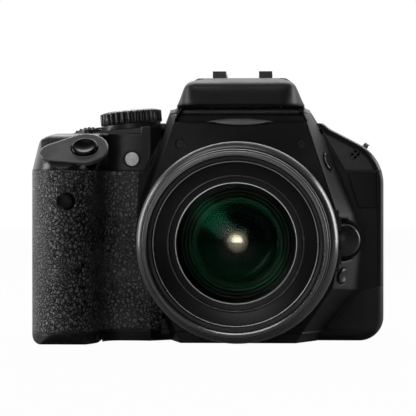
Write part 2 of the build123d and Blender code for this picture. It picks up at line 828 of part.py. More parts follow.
with BuildPart() as front_windows:
    add(rod(LAMP, 2.6, 2))
    with BuildSketch(at(-62.4, grip_forward - skin + 0.1, 51.8)):
        Ellipse(2.4, 3.1)
    extrude(amount=1.0)
write(front_windows, "front_windows")

button("iso_button", ISO, 2.2, 0.8, 2.6)
button("flash_button", FLASH_WALL, 3.3, 0.8, 1.9)
button("depth_preview_button", PREVIEW_WALL, 2.8, 0.8, 1.9)

# ---------------------------------------------------------------- back and base
RECESS_X = (screen_outer_x - gap, screen_inner_x + gap)
ear_low = (screen_low_z - gap, 19.7)
ear_high = (57.3, screen_high_z + gap)
barrel_z = (ear_low[1] + gap, ear_high[0] - gap)


def knuckle(z, radius, web, plane_y):
    """A hinge cylinder on the screen's axis, joined to a surface by a web."""
    with BuildPart() as shape:
        with BuildSketch(Plane.XY.offset(z[0])):
            with Locations((screen_pivot_x, screen_pivot_back)):
                Circle(radius)
            if web:
                with Locations((screen_pivot_x, (screen_pivot_back + plane_y) / 2)):
                    Rectangle(2 * radius, screen_pivot_back - plane_y)
        extrude(amount=z[1] - z[0])
    return shape.part


REAR_BUTTONS = {
    "menu_button": (38.5, 70.3, 1.9),
    "info_button": (31.5, 70.3, 1.9),
    "live_view_button": (-36.5, 62.5, 3.4),
    "zoom_button": (-67.5, 70.2, 2.0),
    "ae_lock_button": (-59.0, 70.0, 2.0),
    "playback_button": (-36.0, 47.5, 2.8),
    "erase_button": (-36.5, 10.5, 2.6),
}
KEYS = back_at(-51.5, 30.5)
keys_radius = 10.4
set_radius = 4.2

CARD_DOOR = Plane(origin=(-grip_side + 1.3, 24, 38), x_dir=(0, -1, 0), z_dir=(0, 0, 1))
card_leaf = block((-grip_side, -grip_side + 2.6), (6, 24), (20, 56))
battery_x = (5.7 - grip_side, -54.7)
DOOR_HINGE = Plane(origin=(-52.8, 0, 1.2), x_dir=(1, 0, 0), z_dir=(0, -1, 0))

with BuildPart() as rear_cover:
    add(shell.part)
    add(top_zone.part, mode=Mode.SUBTRACT)
    add(block((-100, 100), (-60, seam_back), (-10, 120)), mode=Mode.SUBTRACT)
    add(block((-100, 100), (-60, 60), (-10, base_height)), mode=Mode.SUBTRACT)
    add(thumb_zone.part, mode=Mode.SUBTRACT)
    add(block(RECESS_X, (recess_back, 40), (screen_low_z - gap, screen_high_z + gap)), mode=Mode.SUBTRACT)
    add(
        block((screen_inner_x, 60), (recess_back, 40), (screen_low_z - gap, screen_high_z + gap)),
        mode=Mode.SUBTRACT,
    )
    for span in (ear_low, ear_high):
        add(knuckle(span, screen_knuckle, True, recess_back - 0.5))
    add(knuckle((barrel_z[0] - 3.5, barrel_z[1] + 3.5), 1.2 + fit, False, 0), mode=Mode.SUBTRACT)
    for x, z, radius in REAR_BUTTONS.values():
        add(button_hole(back_at(x, z), radius, wall), mode=Mode.SUBTRACT)
    add(button_hole(KEYS, keys_radius, wall), mode=Mode.SUBTRACT)
    leaf_bed = (-grip_side - 1, -grip_side + 2.6 + gap)
    add(block(leaf_bed, (6 - gap, 24), (20 - gap, 56 + gap)), mode=Mode.SUBTRACT)
    add(rod(CARD_DOOR.offset(-18 - gap), 1.3 + gap, 36 + 2 * gap), mode=Mode.SUBTRACT)
    relief = (-grip_side - 1, -grip_side + 1.3)  # the leaf's hinge edge turns into this
    add(block(relief, (24, 25.5 + gap), (20 - gap, 56 + gap)), mode=Mode.SUBTRACT)
    add(rod(CARD_DOOR.offset(-20), 0.6 + fit, 40), mode=Mode.SUBTRACT)
    add(block((50, 60), (7, 20), (22, 60)), mode=Mode.SUBTRACT)
    add(lug_pockets.part, mode=Mode.SUBTRACT)
    add(strap_lugs.part, mode=Mode.SUBTRACT)
write(rear_cover, "rear_cover")

with BuildPart() as card_door:
    add(card_leaf)
    add(rod(CARD_DOOR.offset(-18), 1.3, 36))
    add(rod(CARD_DOOR.offset(-19.6), 0.6, 39.2))
write(card_door, "card_door")

TERMINAL_HINGE = Plane(origin=(free_side - 1.2, 8.5, 41), x_dir=(0, 1, 0), z_dir=(0, 0, 1))
with BuildPart() as terminal_door:
    add(block((free_side - 2.4, free_side), (8.5, 19.7), (22.3, 59.7)))
    add(rod(TERMINAL_HINGE.offset(-18.7), 1.2, 37.4))
write(terminal_door, "terminal_door")

with BuildPart() as pad_zones:
    add(side_skin_zone.part)
    add(thumb_zone.part)

with BuildPart() as body_rubber_pads:
    add(envelope.part)
    add(pad_zones.part, mode=Mode.INTERSECT)
write(body_rubber_pads, "body_rubber_pads")

with BuildPart() as base_cover:
    add(shell.part)
    add(block((-100, 100), (-60, 60), (-10, base_height)), mode=Mode.INTERSECT)
    add(rod(Plane.XY.offset(-1), 7 + fit, 8), mode=Mode.SUBTRACT)
    add(block((battery_x[0] - 1.1, -51.3), (-27, 12), (-1, 2.6)), mode=Mode.SUBTRACT)
    add(rod(DOOR_HINGE.offset(-14), 0.6 + fit, 44), mode=Mode.SUBTRACT)
    add(screw_holes, mode=Mode.SUBTRACT)
write(base_cover, "base_cover")

with BuildPart() as battery_door:
    add(block((battery_x[0] - 0.8, -52.8), (-26.7, 11.7), (0, 2.2)))
    add(rod(DOOR_HINGE.offset(-11.7), 1.2, 38.4))
    add(rod(DOOR_HINGE.offset(-13.2), 0.6, 41.4))
write(battery_door, "battery_door")

with BuildPart() as tripod_socket:
    add(rod(Plane.XY, 7, 6.5))
    add(rod(Plane.XY.offset(wall + 0.4), 9, 1.3))
    add(rod(Plane.XY, 2.6, 5.5), mode=Mode.SUBTRACT)
write(tripod_socket, "tripod_socket")

for name, (x, z, radius) in REAR_BUTTONS.items():
    button(name, back_at(x, z), radius, 0.9, wall)

with BuildPart() as cross_keys:
    add(rod(KEYS.offset(-wall - gap), keys_radius, wall + gap + 1.0))
    add(rod(KEYS.offset(-wall - gap - 0.8), keys_radius + 0.7, 0.8))
    add(rod(KEYS.offset(-wall - 2), set_radius + gap, 9), mode=Mode.SUBTRACT)
write(cross_keys, "cross_keys")

with BuildPart() as set_button:
    add(rod(KEYS.offset(-wall - 1.9), set_radius, wall + 3.1))
    fillet(set_button.faces().sort_by(Axis.Y)[-1].edges(), 0.4)
write(set_button, "set_button")

# ---------------------------------------------------------------- screen
with BuildPart() as screen_housing:
    width = (screen_outer_x, screen_inner_x)
    add(block(width, (recess_back + 0.5, back + 0.2), (screen_low_z, screen_high_z)))
    fillet(screen_housing.edges().filter_by(Axis.Y), 2)
    fillet(screen_housing.faces().sort_by(Axis.Y)[-1].edges(), 0.8)
    add(block((-22, 41.5), (back - 0.8, back + 1), (15, 62)), mode=Mode.SUBTRACT)
write(screen_housing, "screen_housing")

with BuildPart() as screen_glass:
    add(block((-21.9, 41.4), (back - 0.8, back + 0.1), (15.1, 61.9)))
write(screen_glass, "screen_glass")

with BuildPart() as screen_hinge:
    add(knuckle(barrel_z, screen_knuckle, False, 0))
    add(block((screen_inner_x, screen_pivot_x), (screen_pivot_back - 2, screen_pivot_back + 2), barrel_z))
    add(knuckle((barrel_z[0] - 3, barrel_z[1] + 3), 1.2, False, 0))
write(screen_hinge, "screen_hinge")

# ---------------------------------------------------------------- inside
MIRROR = Plane(origin=(0, 4.6, 51.0), x_dir=(1, 0, 0), z_dir=(0, -1, 1))
mirror_length = 23.0
box_half = 24.0
box_low = 15.0
box_high = 58.5
gate_half = 12.5
gate_z = (29.4, 46.4)

with BuildPart() as mirror_box:
    add(block((-box_half, box_half), (wall - facade_forward, 9), (box_low, box_high)))
    add(block((-16.5, 16.5), (-24, 7), (24.5, 52)), mode=Mode.SUBTRACT)
    add(block((-15.5, 15.5), (-20, 4), (50, 60)), mode=Mode.SUBTRACT)
    add(block((-gate_half, gate_half), (5, 10), gate_z), mode=Mode.SUBTRACT)
    add(rod(Plane(origin=(-19, 4.6, 51), z_dir=(1, 0, 0)), 0.8 + fit, 38), mode=Mode.SUBTRACT)
write(mirror_box, "mirror_box")

with BuildPart() as reflex_mirror:
    with BuildSketch(MIRROR.offset(-0.6)):
        with Locations((0, -mirror_length / 2)):
            Rectangle(29, mirror_length)
    extrude(amount=1.2)
    add(rod(Plane(origin=(-18.5, 4.6, 51), z_dir=(1, 0, 0)), 0.8, 37))
write(reflex_mirror, "reflex_mirror")

with BuildPart() as shutter_frame:
    add(block((-19, 19), (9, 13.4), (9.5, 50)))
    add(block((-16.2, 16.2), (10.2, 12.2), (10.5, 47.4)), mode=Mode.SUBTRACT)
    add(block((-gate_half, gate_half), (8, 14), gate_z), mode=Mode.SUBTRACT)
write(shutter_frame, "shutter_frame")

with BuildPart() as shutter_curtain:
    add(block((-15.8, 15.8), (10.6, 11.8), (28.9, 46.9)))
write(shutter_curtain, "shutter_curtain")

with BuildPart() as image_sensor:
    add(block((-13, 13), (13.5, sensor_back), (28, 47.6)))
    add(block((-20, 20), (sensor_back, 18.6), (22, 54)))
write(image_sensor, "image_sensor")

with BuildPart() as main_board:
    add(block((-66, 44), (18.6, 20), (9, 66)))
    add(block((-66, -46), (14, 18.6), (24, 52)))
    add(block((-67, -51), (15.2, 17.7), (25.8, 50.2)), mode=Mode.SUBTRACT)
write(main_board, "main_board")

with BuildPart() as memory_card:
    add(block((-75.4, -51.4), (15.4, 17.5), (26, 50)))
write(memory_card, "memory_card")

with BuildPart() as battery:
    add(block(battery_x, (-25.4, 11), (2.9, 56.4)))
    fillet(battery.edges().filter_by(Axis.Z), 1.5)
write(battery, "battery")

# ---------------------------------------------------------------- lens
with BuildPart() as lens_mount_plate:
    edge = fixed_radius - 1
    add(turned([(20, 24.1), (24.6, 24.1), (24.6, 28), (edge, 28), (edge, 31), (20, 31)]))
    for middle in TABS:
        add(prism(AXIS.offset(24.2), sector(24.4, 26.6, middle, 50), 1.5))
    add(prism(AXIS.offset(flange_forward), sector(pin_x - 1.2, pin_x + 1.2, 30, 68), 2), mode=Mode.SUBTRACT)
write(lens_mount_plate, "lens_mount_plate")

pad_x = fixed_radius + 1.3  # outer face of the pad that holds the switches
switch_floor = pad_x - 1.2
switch_low = 33.5
switch_window = (35.5, 42.5)
AF = (axis_z + 3.5, axis_z + 8.5)
STABILISER = (axis_z - 8.5, axis_z - 3.5)

with BuildPart() as lens_barrel:
    add(
        turned(
            [
                (12.4, 31),
                (fixed_radius - 0.6, 31),
                (fixed_radius, 31.6),
                (fixed_radius, zoom_back - gap),
                (sleeve_radius, zoom_back - gap),
                (sleeve_radius, zoom_front - 2.5),
                (slide_radius + gap, zoom_front - 2.5),
                (slide_radius + gap, 33),
                (12.4, 33),
            ]
        )
    )
    add(block((pad_x - 4.3, pad_x), (-44.5, -switch_low), (axis_z - 11, axis_z + 11)))
    for span in (AF, STABILISER):
        window = (-switch_window[1], -switch_window[0])
        add(block((switch_floor, pad_x + 1), window, (span[0] - gap, span[1] + gap)), mode=Mode.SUBTRACT)
write(lens_barrel, "lens_barrel")

for name, span in (("af_switch", AF), ("stabiliser_switch", STABILISER)):
    with BuildPart() as switch:
        window_back = -switch_window[0]
        add(block((switch_floor + fit, pad_x + fit), (window_back - gap - 3.4, window_back - gap), span))
        add(block((pad_x, pad_x + 1.1), (window_back - 2.6, window_back - 1.4), span))
    write(switch, name)


def ribbed(radius, depth, count, back_forward, front_forward, bore):
    """A knurled band about the lens axis."""
    with BuildPart() as shape:
        with BuildSketch(AXIS.offset(back_forward)):
            Circle(radius)
            with PolarLocations(radius, count):
                Circle(depth, mode=Mode.SUBTRACT)
            Circle(bore, mode=Mode.SUBTRACT)
        extrude(amount=front_forward - back_forward)
    return shape.part


zoom_bore = sleeve_radius + fit
zoom_lip = zoom_front - 2.2  # where the ring closes in over the front of the sleeve
zoom_back_rim = [
    (zoom_bore, zoom_back),
    (zoom_radius - 0.25, zoom_back),
    (zoom_radius, zoom_back + 1),
    (zoom_radius, zoom_back + 3.5),
    (zoom_bore, zoom_back + 3.5),
]
zoom_front_rim = [
    (zoom_bore, zoom_front - 7),
    (zoom_radius, zoom_front - 7),
    (zoom_radius, zoom_lip),
    (zoom_radius - 2.05, zoom_front),
    (slide_radius + gap, zoom_front),
    (slide_radius + gap, zoom_lip),
    (zoom_bore, zoom_lip),
]
with BuildPart() as zoom_ring:
    add(turned(zoom_back_rim))
    add(ribbed(zoom_radius, 0.6, 72, zoom_back + 3.5, zoom_front - 7, zoom_bore))
    add(turned(zoom_front_rim))
write(zoom_ring, "zoom_ring")

glass_radius = 20.0
glass_edge = 81.0
glass_front = 84.0
glass_back = glass_edge - 3.5
seat_radius = glass_radius + fit
inner_radius = 12.9  # second element of the front group, at the end of a funnel
funnel_end = glass_back - 8.5
thread_back = lens_front - 5.5
inner_profile = [
    (bore_radius, 40),
    (slide_radius, 40),
    (slide_radius, focus_front + gap),
    (rim_radius, focus_front + gap),
    (rim_radius, lens_front - 0.4),
    (rim_radius - 0.4, lens_front),
    (filter_radius, lens_front),
    (filter_radius, thread_back),
    (bore_radius, thread_back),
    (bore_radius, glass_edge),
    (seat_radius, glass_edge),
    (seat_radius, glass_back - 0.3),
    (seat_radius - 0.7, glass_back - 0.3),
    (seat_radius - 1.2, glass_back - 1.4),
    (inner_radius + fit, glass_back - 6.4),
    (inner_radius + fit, funnel_end),
    (seat_radius, funnel_end),
    (bore_radius, glass_back - 4),
]
with BuildPart() as inner_barrel:
    add(turned(inner_profile))
write(inner_barrel, "inner_barrel")

focus_bore = slide_radius + fit
focus_back_rim = [
    (focus_bore, focus_back),
    (focus_radius - 0.5, focus_back),
    (focus_radius, focus_back + 0.9),
    (focus_radius, focus_back + 1.7),
    (focus_bore, focus_back + 1.7),
]
focus_front_rim = [
    (focus_bore, focus_front - 2),
    (focus_radius, focus_front - 2),
    (focus_radius, focus_front - 0.5),
    (focus_radius - 0.4, focus_front),
    (focus_bore, focus_front),
]
with BuildPart() as focus_ring:
    add(turned(focus_back_rim))
    add(ribbed(focus_radius, 0.35, 120, focus_back + 1.7, focus_front - 2, focus_bore))
    add(turned(focus_front_rim))
write(focus_ring, "focus_ring")

with BuildPart() as name_ring:
    inner = seat_radius + 0.3
    outer = bore_radius - fit
    add(turned([(inner, 83.2), (inner, 84.6), (inner + 1.6, 86.2), (outer, 92.2), (outer, 90.4)]))
write(name_ring, "name_ring")

dome = (glass_radius**2 + (glass_front - glass_edge) ** 2) / (2 * (glass_front - glass_edge))
inner_dome = 24.0
inner_front = glass_back - 2.6
with BuildPart() as front_element:
    add(rod(AXIS.offset(glass_back), glass_radius, glass_front - glass_back))
    with Locations(AXIS.offset(glass_front - dome)):
        Sphere(dome, mode=Mode.INTERSECT)
    with BuildPart(mode=Mode.PRIVATE) as second:
        add(rod(AXIS.offset(funnel_end), inner_radius, inner_front - funnel_end))
        with Locations(AXIS.offset(inner_front - inner_dome)):
            Sphere(inner_dome, mode=Mode.INTERSECT)
    add(second.part)
write(front_element, "front_element")

with BuildPart() as rear_elements:
    add(rod(AXIS.offset(23.5), 12.3, 12))
write(rear_elements, "rear_elements")
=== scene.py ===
# %% [markdown]
# # Dressing a single-lens reflex camera
# The camera's construction, its covers, dials, doors, mirror and lens, comes as a fixed frame in
# metres: +Z is up, the lens points along -Y and the grip is at -X. This notebook gives every piece
# its finish and models the pieces whose shape matters most to the eye: the lens rings and glass,
# the dials, the shutter button, the flash lid, the eyecup and the small marks.
# The frame is loaded first, so that the sizes below can be taken from it.

# %% Load the frame
import json
import math

import bpy
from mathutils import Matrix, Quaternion, Vector


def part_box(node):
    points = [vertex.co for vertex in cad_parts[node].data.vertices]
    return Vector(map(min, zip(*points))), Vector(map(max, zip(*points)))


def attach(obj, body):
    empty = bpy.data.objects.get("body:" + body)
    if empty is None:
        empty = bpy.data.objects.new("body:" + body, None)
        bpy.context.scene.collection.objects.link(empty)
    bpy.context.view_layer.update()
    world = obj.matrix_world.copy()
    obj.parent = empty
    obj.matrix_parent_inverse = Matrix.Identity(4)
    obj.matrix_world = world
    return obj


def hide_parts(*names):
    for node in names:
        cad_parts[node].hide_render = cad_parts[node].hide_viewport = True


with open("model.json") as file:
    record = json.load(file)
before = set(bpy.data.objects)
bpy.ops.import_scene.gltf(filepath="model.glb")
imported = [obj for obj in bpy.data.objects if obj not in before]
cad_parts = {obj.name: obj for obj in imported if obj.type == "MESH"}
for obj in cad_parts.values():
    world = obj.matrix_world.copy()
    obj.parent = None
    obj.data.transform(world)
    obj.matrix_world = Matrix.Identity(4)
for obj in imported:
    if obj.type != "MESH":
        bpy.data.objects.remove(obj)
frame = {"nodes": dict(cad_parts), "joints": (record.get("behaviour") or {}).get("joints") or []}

MM = 0.001
NODES = frame["nodes"]
JOINTS = {joint["name"]: joint for joint in frame["joints"]}
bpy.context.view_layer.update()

# %% [markdown]
# ## Working by hand, in code
# Blender's operators act on whatever is selected, and the frame's nodes arrive selected. So each
# piece starts from a cleared selection. `pick` chooses faces, edges or vertices of the edited mesh
# by their place, as a hand would with box select. Lists of numbers could make the same meshes, but
# nobody could follow them in Blender's own window.

# %% Selection helpers
def clear_selection():
    if bpy.context.object and bpy.context.object.mode != "OBJECT":
        bpy.ops.object.mode_set(mode="OBJECT")
    bpy.ops.object.select_all(action="DESELECT")


def only(piece):
    clear_selection()
    piece.select_set(True)
    bpy.context.view_layer.objects.active = piece


def pick(piece, test, kind="FACE"):
    """Selects the faces, edges or vertices whose place passes a test, in edit mode."""
    bpy.ops.mesh.select_mode(type=kind)
    bpy.ops.mesh.select_all(action="DESELECT")
    bpy.ops.object.mode_set(mode="OBJECT")
    mesh = piece.data
    if kind == "FACE":
        for face in mesh.polygons:
            face.select = test(face.center, face.normal)
    elif kind == "EDGE":
        for edge in mesh.edges:
            a, b = (mesh.vertices[i].co for i in edge.vertices)
            edge.select = test((a + b) / 2, (b - a).normalized())
    else:
        for vertex in mesh.vertices:
            vertex.select = test(vertex.co, vertex.normal)
    bpy.ops.object.mode_set(mode="EDIT")

# %% [markdown]
# Five more habits repeat: start a box at its size, round sharp edges, join meshes, finish a piece,
# and give some of its faces another finish. `settle` ends every piece: it puts the place into the
# mesh, closes its seams, turns its faces outwards and says which body the piece rides on.

# %% Making helpers
def block(size, place=(0, 0, 0)):
    """Adds a box of a size at a place, and leaves it all selected in edit mode."""
    clear_selection()
    bpy.ops.mesh.primitive_cube_add(size=1, location=place)
    piece = bpy.context.object
    bpy.ops.object.mode_set(mode="EDIT")
    bpy.ops.mesh.select_all(action="SELECT")
    bpy.ops.transform.resize(value=size, center_override=place)
    return piece


def bevel_modifier(piece, width, segments=3, angle=30):
    """Rounds the sharp edges with a Bevel modifier and applies it."""
    only(piece)
    rounder = piece.modifiers.new("round", "BEVEL")
    rounder.width = width
    rounder.segments = segments
    rounder.limit_method = "ANGLE"
    rounder.angle_limit = math.radians(angle)
    bpy.ops.object.modifier_apply(modifier=rounder.name)


def settle(piece, name, body, material, smooth=35, stands_for=()):
    """Finishes a piece: its place goes into its mesh, and it gets a body, a finish and a name."""
    only(piece)
    bpy.ops.object.transform_apply(location=True, rotation=True, scale=True)
    bpy.ops.object.mode_set(mode="EDIT")
    bpy.ops.mesh.select_all(action="SELECT")
    bpy.ops.mesh.remove_doubles(threshold=1e-6)
    bpy.ops.mesh.normals_make_consistent(inside=False)
    bpy.ops.object.mode_set(mode="OBJECT")
    if smooth:
        bpy.ops.object.shade_smooth_by_angle(angle=math.radians(smooth))
    piece.name = name
    piece.data.name = name
    piece.data.materials.clear()
    piece.data.materials.append(material)
    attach(piece, body)
    if stands_for:
        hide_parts(*stands_for)
    print(f"{name}: {len(piece.data.polygons)} faces")
    return piece


def paint(piece, material, test):
    """Gives the faces that pass a test another finish."""
    only(piece)
    piece.data.materials.append(material)
    bpy.ops.object.mode_set(mode="EDIT")
    pick(piece, test)
    piece.active_material_index = len(piece.data.materials) - 1
    bpy.ops.object.material_slot_assign()
    bpy.ops.object.mode_set(mode="OBJECT")


def joined(pieces):
    """Joins several meshes into the first one."""
    clear_selection()
    for piece in pieces:
        piece.select_set(True)
    bpy.context.view_layer.objects.active = pieces[0]
    bpy.ops.object.join()
    return pieces[0]

# %% [markdown]
# ## Shader effects used by many finishes
# Edge rounding, grain, leather and handling marks are needed by many materials. Each could be wired
# into every material again, but a node group is built once and then only given its numbers. These
# helpers add a group, a node with its unlinked values, a sum, a remapped range and a noise.

# %% Node helpers
def new_group(name, inputs, outputs):
    group = bpy.data.node_groups.new(name, "ShaderNodeTree")
    for label, kind, value in inputs:
        socket = group.interface.new_socket(label, in_out="INPUT", socket_type=kind)
        socket.default_value = value
    for label, kind in outputs:
        group.interface.new_socket(label, in_out="OUTPUT", socket_type=kind)
    print("group:", name)
    return group, group.nodes.new("NodeGroupInput"), group.nodes.new("NodeGroupOutput")


def node(tree, kind, sockets=None, **settings):
    """Adds a node, sets its options and its unlinked sockets."""
    made = tree.nodes.new(kind)
    for key, value in settings.items():
        setattr(made, key, value)
    for key, value in (sockets or {}).items():
        made.inputs[key].default_value = value
    return made


def math_node(tree, operation, a, b=None, clamp=False):
    made = node(tree, "ShaderNodeMath", operation=operation, use_clamp=clamp)
    for index, value in enumerate((a, b)):
        if value is None:
            continue
        if isinstance(value, (int, float)):
            made.inputs[index].default_value = value
        else:
            tree.links.new(value, made.inputs[index])
    return made.outputs[0]


def remap(tree, value, low, high, to_low=0.0, to_high=1.0):
    made = node(tree, "ShaderNodeMapRange", {1: low, 2: high, 3: to_low, 4: to_high})
    made.interpolation_type = "SMOOTHSTEP"
    tree.links.new(value, made.inputs[0])
    return made.outputs[0]


def noise_on(tree, sockets):
    """A noise that is fixed to the piece, so it moves along with it."""
    place = node(tree, "ShaderNodeTexCoord")
    noise = node(tree, "ShaderNodeTexNoise", sockets)
    tree.links.new(place.outputs["Object"], noise.inputs["Vector"])
    return noise

# %% [markdown]
# Real mouldings never meet in a perfectly sharp edge. A bevel on every edge of the mesh would cost
# many faces, so the Bevel shader node rounds the light at an edge instead. The angle between its
# normal and the true one also marks the edges, which the finishes paint paler: partly as the wear
# that edges take first, partly as a painted highlight along them.

# %% Edge group
edge_group, ins, outs = new_group(
    "rounded_edges",
    [("Radius", "NodeSocketFloat", 0.0004)],
    [("Normal", "NodeSocketVector"), ("Edge", "NodeSocketFloat")],
)
tree = edge_group
rounding = node(tree, "ShaderNodeBevel", samples=6)
tree.links.new(ins.outputs["Radius"], rounding.inputs["Radius"])
surface = node(tree, "ShaderNodeNewGeometry")
turn = node(tree, "ShaderNodeVectorMath", operation="DOT_PRODUCT")
tree.links.new(rounding.outputs[0], turn.inputs[0])
tree.links.new(surface.outputs["Normal"], turn.inputs[1])
tree.links.new(rounding.outputs[0], outs.inputs["Normal"])
tree.links.new(remap(tree, turn.outputs["Value"], 0.995, 0.8), outs.inputs["Edge"])

# %% [markdown]
# Moulded plastic has a fine spark-eroded grain of about a third of a millimetre. A 3-D noise on
# Object coordinates gives it without a map of the surface, and it stays put when the piece moves.
# Its highest spots also come out as paler specks: painted glints standing in for single grains that
# catch the light on black plastic.

# %% Moulded grain group
grain_group, ins, outs = new_group(
    "moulded_grain",
    [("Scale", "NodeSocketFloat", 2600.0)],
    [("Height", "NodeSocketFloat"), ("Painted glint", "NodeSocketFloat")],
)
tree = grain_group
fine = noise_on(tree, {"Detail": 2.0, "Roughness": 0.6})
tree.links.new(ins.outputs["Scale"], fine.inputs["Scale"])
tree.links.new(fine.outputs[0], outs.inputs["Height"])
tree.links.new(remap(tree, fine.outputs[0], 0.56, 0.72), outs.inputs["Painted glint"])

# %% [markdown]
# The grip's rubber has pebbled leather grain: uneven cells more than a millimetre across, with
# creases between them. A Voronoi texture's distance to its cell edges gives the creases, and a
# little noise on the coordinates makes the cells uneven. Modelled pebbles would need millions of
# faces, so they are a bump. The crests are painted paler as a highlight, more on some than on
# others, and the creases stay darkest as painted shade.

# %% Leather grain group
leather_group, ins, outs = new_group(
    "pebbled_leather",
    [("Scale", "NodeSocketFloat", 850.0)],
    [("Height", "NodeSocketFloat"), ("Painted crest", "NodeSocketFloat")],
)
tree = leather_group
place = node(tree, "ShaderNodeTexCoord")
drift = noise_on(tree, {"Scale": 700.0, "Detail": 1.0})
drift_reach = 0.0011  # metres
shift = node(tree, "ShaderNodeVectorMath", {1: [drift_reach] * 3}, operation="MULTIPLY_ADD")
tree.links.new(drift.outputs["Color"], shift.inputs[0])
tree.links.new(place.outputs["Object"], shift.inputs[2])
cells = node(tree, "ShaderNodeTexVoronoi", feature="DISTANCE_TO_EDGE")
tree.links.new(shift.outputs[0], cells.inputs["Vector"])
tree.links.new(ins.outputs["Scale"], cells.inputs["Scale"])
pebble = remap(tree, cells.outputs["Distance"], 0.0, 0.28)
lumps = noise_on(tree, {"Scale": 1500.0, "Detail": 2.0})
tree.links.new(math_node(tree, "MULTIPLY", pebble, lumps.outputs[0]), outs.inputs["Height"])
uneven = remap(tree, lumps.outputs[0], 0.4, 0.62, 0.25, 1.0)
tree.links.new(math_node(tree, "MULTIPLY", pebble, uneven), outs.inputs["Painted crest"])

# %% [markdown]
# Hands leave soft patches where a surface is a little smoother. A painted mask would tie them to
# one shape, so a wide, slow noise spreads the roughness instead. It keeps a plain panel from
# looking computed.

# %% Handling group
handling_group, ins, outs = new_group(
    "handling_marks", [("Scale", "NodeSocketFloat", 45.0)], [("Mask", "NodeSocketFloat")]
)
tree = handling_group
cloud = noise_on(tree, {"Detail": 4.0, "Roughness": 0.55})
tree.links.new(ins.outputs["Scale"], cloud.inputs["Scale"])
tree.links.new(remap(tree, cloud.outputs[0], 0.35, 0.68), outs.inputs["Mask"])

# %% [markdown]
# Turned lines and the glass's tints both follow the distance from the lens axis. No texture gives
# it by itself, so a function works it out from the Object coordinates. The axis's height comes from
# the frame's mount ring.

# %% Distance from the lens axis
AXIS_Z = (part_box("mount_ring")[0].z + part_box("mount_ring")[1].z) / 2
print("lens axis height:", round(AXIS_Z, 5))


def axis_distance(tree):
    """Each point's distance from the lens axis, and its Y."""
    place = node(tree, "ShaderNodeTexCoord")
    split = node(tree, "ShaderNodeSeparateXYZ")
    tree.links.new(place.outputs["Object"], split.inputs[0])
    level = math_node(tree, "SUBTRACT", split.outputs["Z"], AXIS_Z)
    squares = math_node(tree, "ADD", math_node(tree, "POWER", split.outputs["X"], 2.0),
                        math_node(tree, "POWER", level, 2.0))
    return math_node(tree, "SQRT", squares), split.outputs["Y"]

# %% [markdown]
# Turned metal and moulded lens rings carry fine circular lines about the lens axis. A wave texture
# would space them evenly, so the distance is run through noise, which gives rings of uneven depth.

# %% Turned lines group
turned_group, ins, outs = new_group(
    "turned_lines", [("Scale", "NodeSocketFloat", 3500.0)], [("Height", "NodeSocketFloat")]
)
tree = turned_group
distance, along = axis_distance(tree)
across = math_node(tree, "ADD", distance, math_node(tree, "MULTIPLY", along, 0.8))
lines = node(tree, "ShaderNodeTexNoise", {"Detail": 1.0}, noise_dimensions="1D")
tree.links.new(across, lines.inputs["W"])
tree.links.new(ins.outputs["Scale"], lines.inputs["Scale"])
tree.links.new(lines.outputs[0], outs.inputs["Height"])

# %% [markdown]
# ## The finishes
# One function builds every opaque finish from the groups: two tones mixed by handling, by edge
# wear with a painted edge highlight and by painted glints on grain peaks or leather crests, a spread
# of roughness, and a bump from grain, leather or turned lines over rounded edges.
# Each material could be wired by itself, but the same nodes would be written thirty times.
# Constants sit on the shader's own sockets, where other programs can read them.

# %% Finish function
# The second, paler tone stands for wear, and along edges also for a painted highlight.
HANDLED_SHARE = 0.07  # how far handling alone moves the tone towards the worn one
WEAR_AND_HIGHLIGHT_GAIN = 1.9
COAT_ROUGHNESS = 0.05


def finish(name, tone, wear_and_highlight_tone=None, rough=(0.45, 0.6), grain=None, depth=0.00002, scale=2600.0,
           edge=0.0004, edge_wear_and_highlight=0.6, metal=0.0, specular=0.5, coat=0.0, marks=45.0, painted_glint=0.0):
    """An opaque finish. depth is the grain's and edge the rounding's size, in metres."""
    material = bpy.data.materials.new(name)
    material.use_nodes = True
    tree = material.node_tree
    shader = tree.nodes["Principled BSDF"]
    shader.inputs["Metallic"].default_value = metal
    shader.inputs["Specular IOR Level"].default_value = specular
    shader.inputs["Coat Weight"].default_value = coat
    shader.inputs["Coat Roughness"].default_value = COAT_ROUGHNESS
    wear_and_highlight_tone = wear_and_highlight_tone or tuple(min(1.0, c * WEAR_AND_HIGHLIGHT_GAIN + 0.01) for c in tone)
    handling = node(tree, "ShaderNodeGroup", node_tree=handling_group)
    handling.inputs["Scale"].default_value = marks
    edges = node(tree, "ShaderNodeGroup", node_tree=edge_group)
    edges.inputs["Radius"].default_value = edge
    # Handling moves the tone a little towards the paler one; edges move it much further, as wear and as a
    # painted edge highlight.
    mask = math_node(tree, "ADD", math_node(tree, "MULTIPLY", handling.outputs[0], HANDLED_SHARE),
                     math_node(tree, "MULTIPLY", edges.outputs["Edge"], edge_wear_and_highlight), clamp=True)
    if grain:
        texture = node(tree, "ShaderNodeGroup", node_tree=grain)
        texture.inputs["Scale"].default_value = scale
        bump = node(tree, "ShaderNodeBump", {"Strength": 1.0, "Distance": depth})
        tree.links.new(texture.outputs["Height"], bump.inputs["Height"])
        tree.links.new(edges.outputs["Normal"], bump.inputs["Normal"])
        tree.links.new(bump.outputs[0], shader.inputs["Normal"])
        # Grain peaks and leather crests are painted paler: painted glints and highlights.
        if painted_glint:
            painted_glints = math_node(tree, "MULTIPLY", texture.outputs[1], painted_glint)
            mask = math_node(tree, "ADD", mask, painted_glints, clamp=True)
    else:
        tree.links.new(edges.outputs["Normal"], shader.inputs["Normal"])
    blend = node(tree, "ShaderNodeMix", data_type="RGBA")
    blend.inputs[6].default_value = (*tone, 1)
    blend.inputs[7].default_value = (*wear_and_highlight_tone, 1)
    tree.links.new(mask, blend.inputs[0])
    tree.links.new(blend.outputs[2], shader.inputs["Base Color"])
    spread = remap(tree, handling.outputs[0], 0.0, 1.0, rough[0], rough[1])
    tree.links.new(spread, shader.inputs["Roughness"])
    print("finish:", name)
    return material
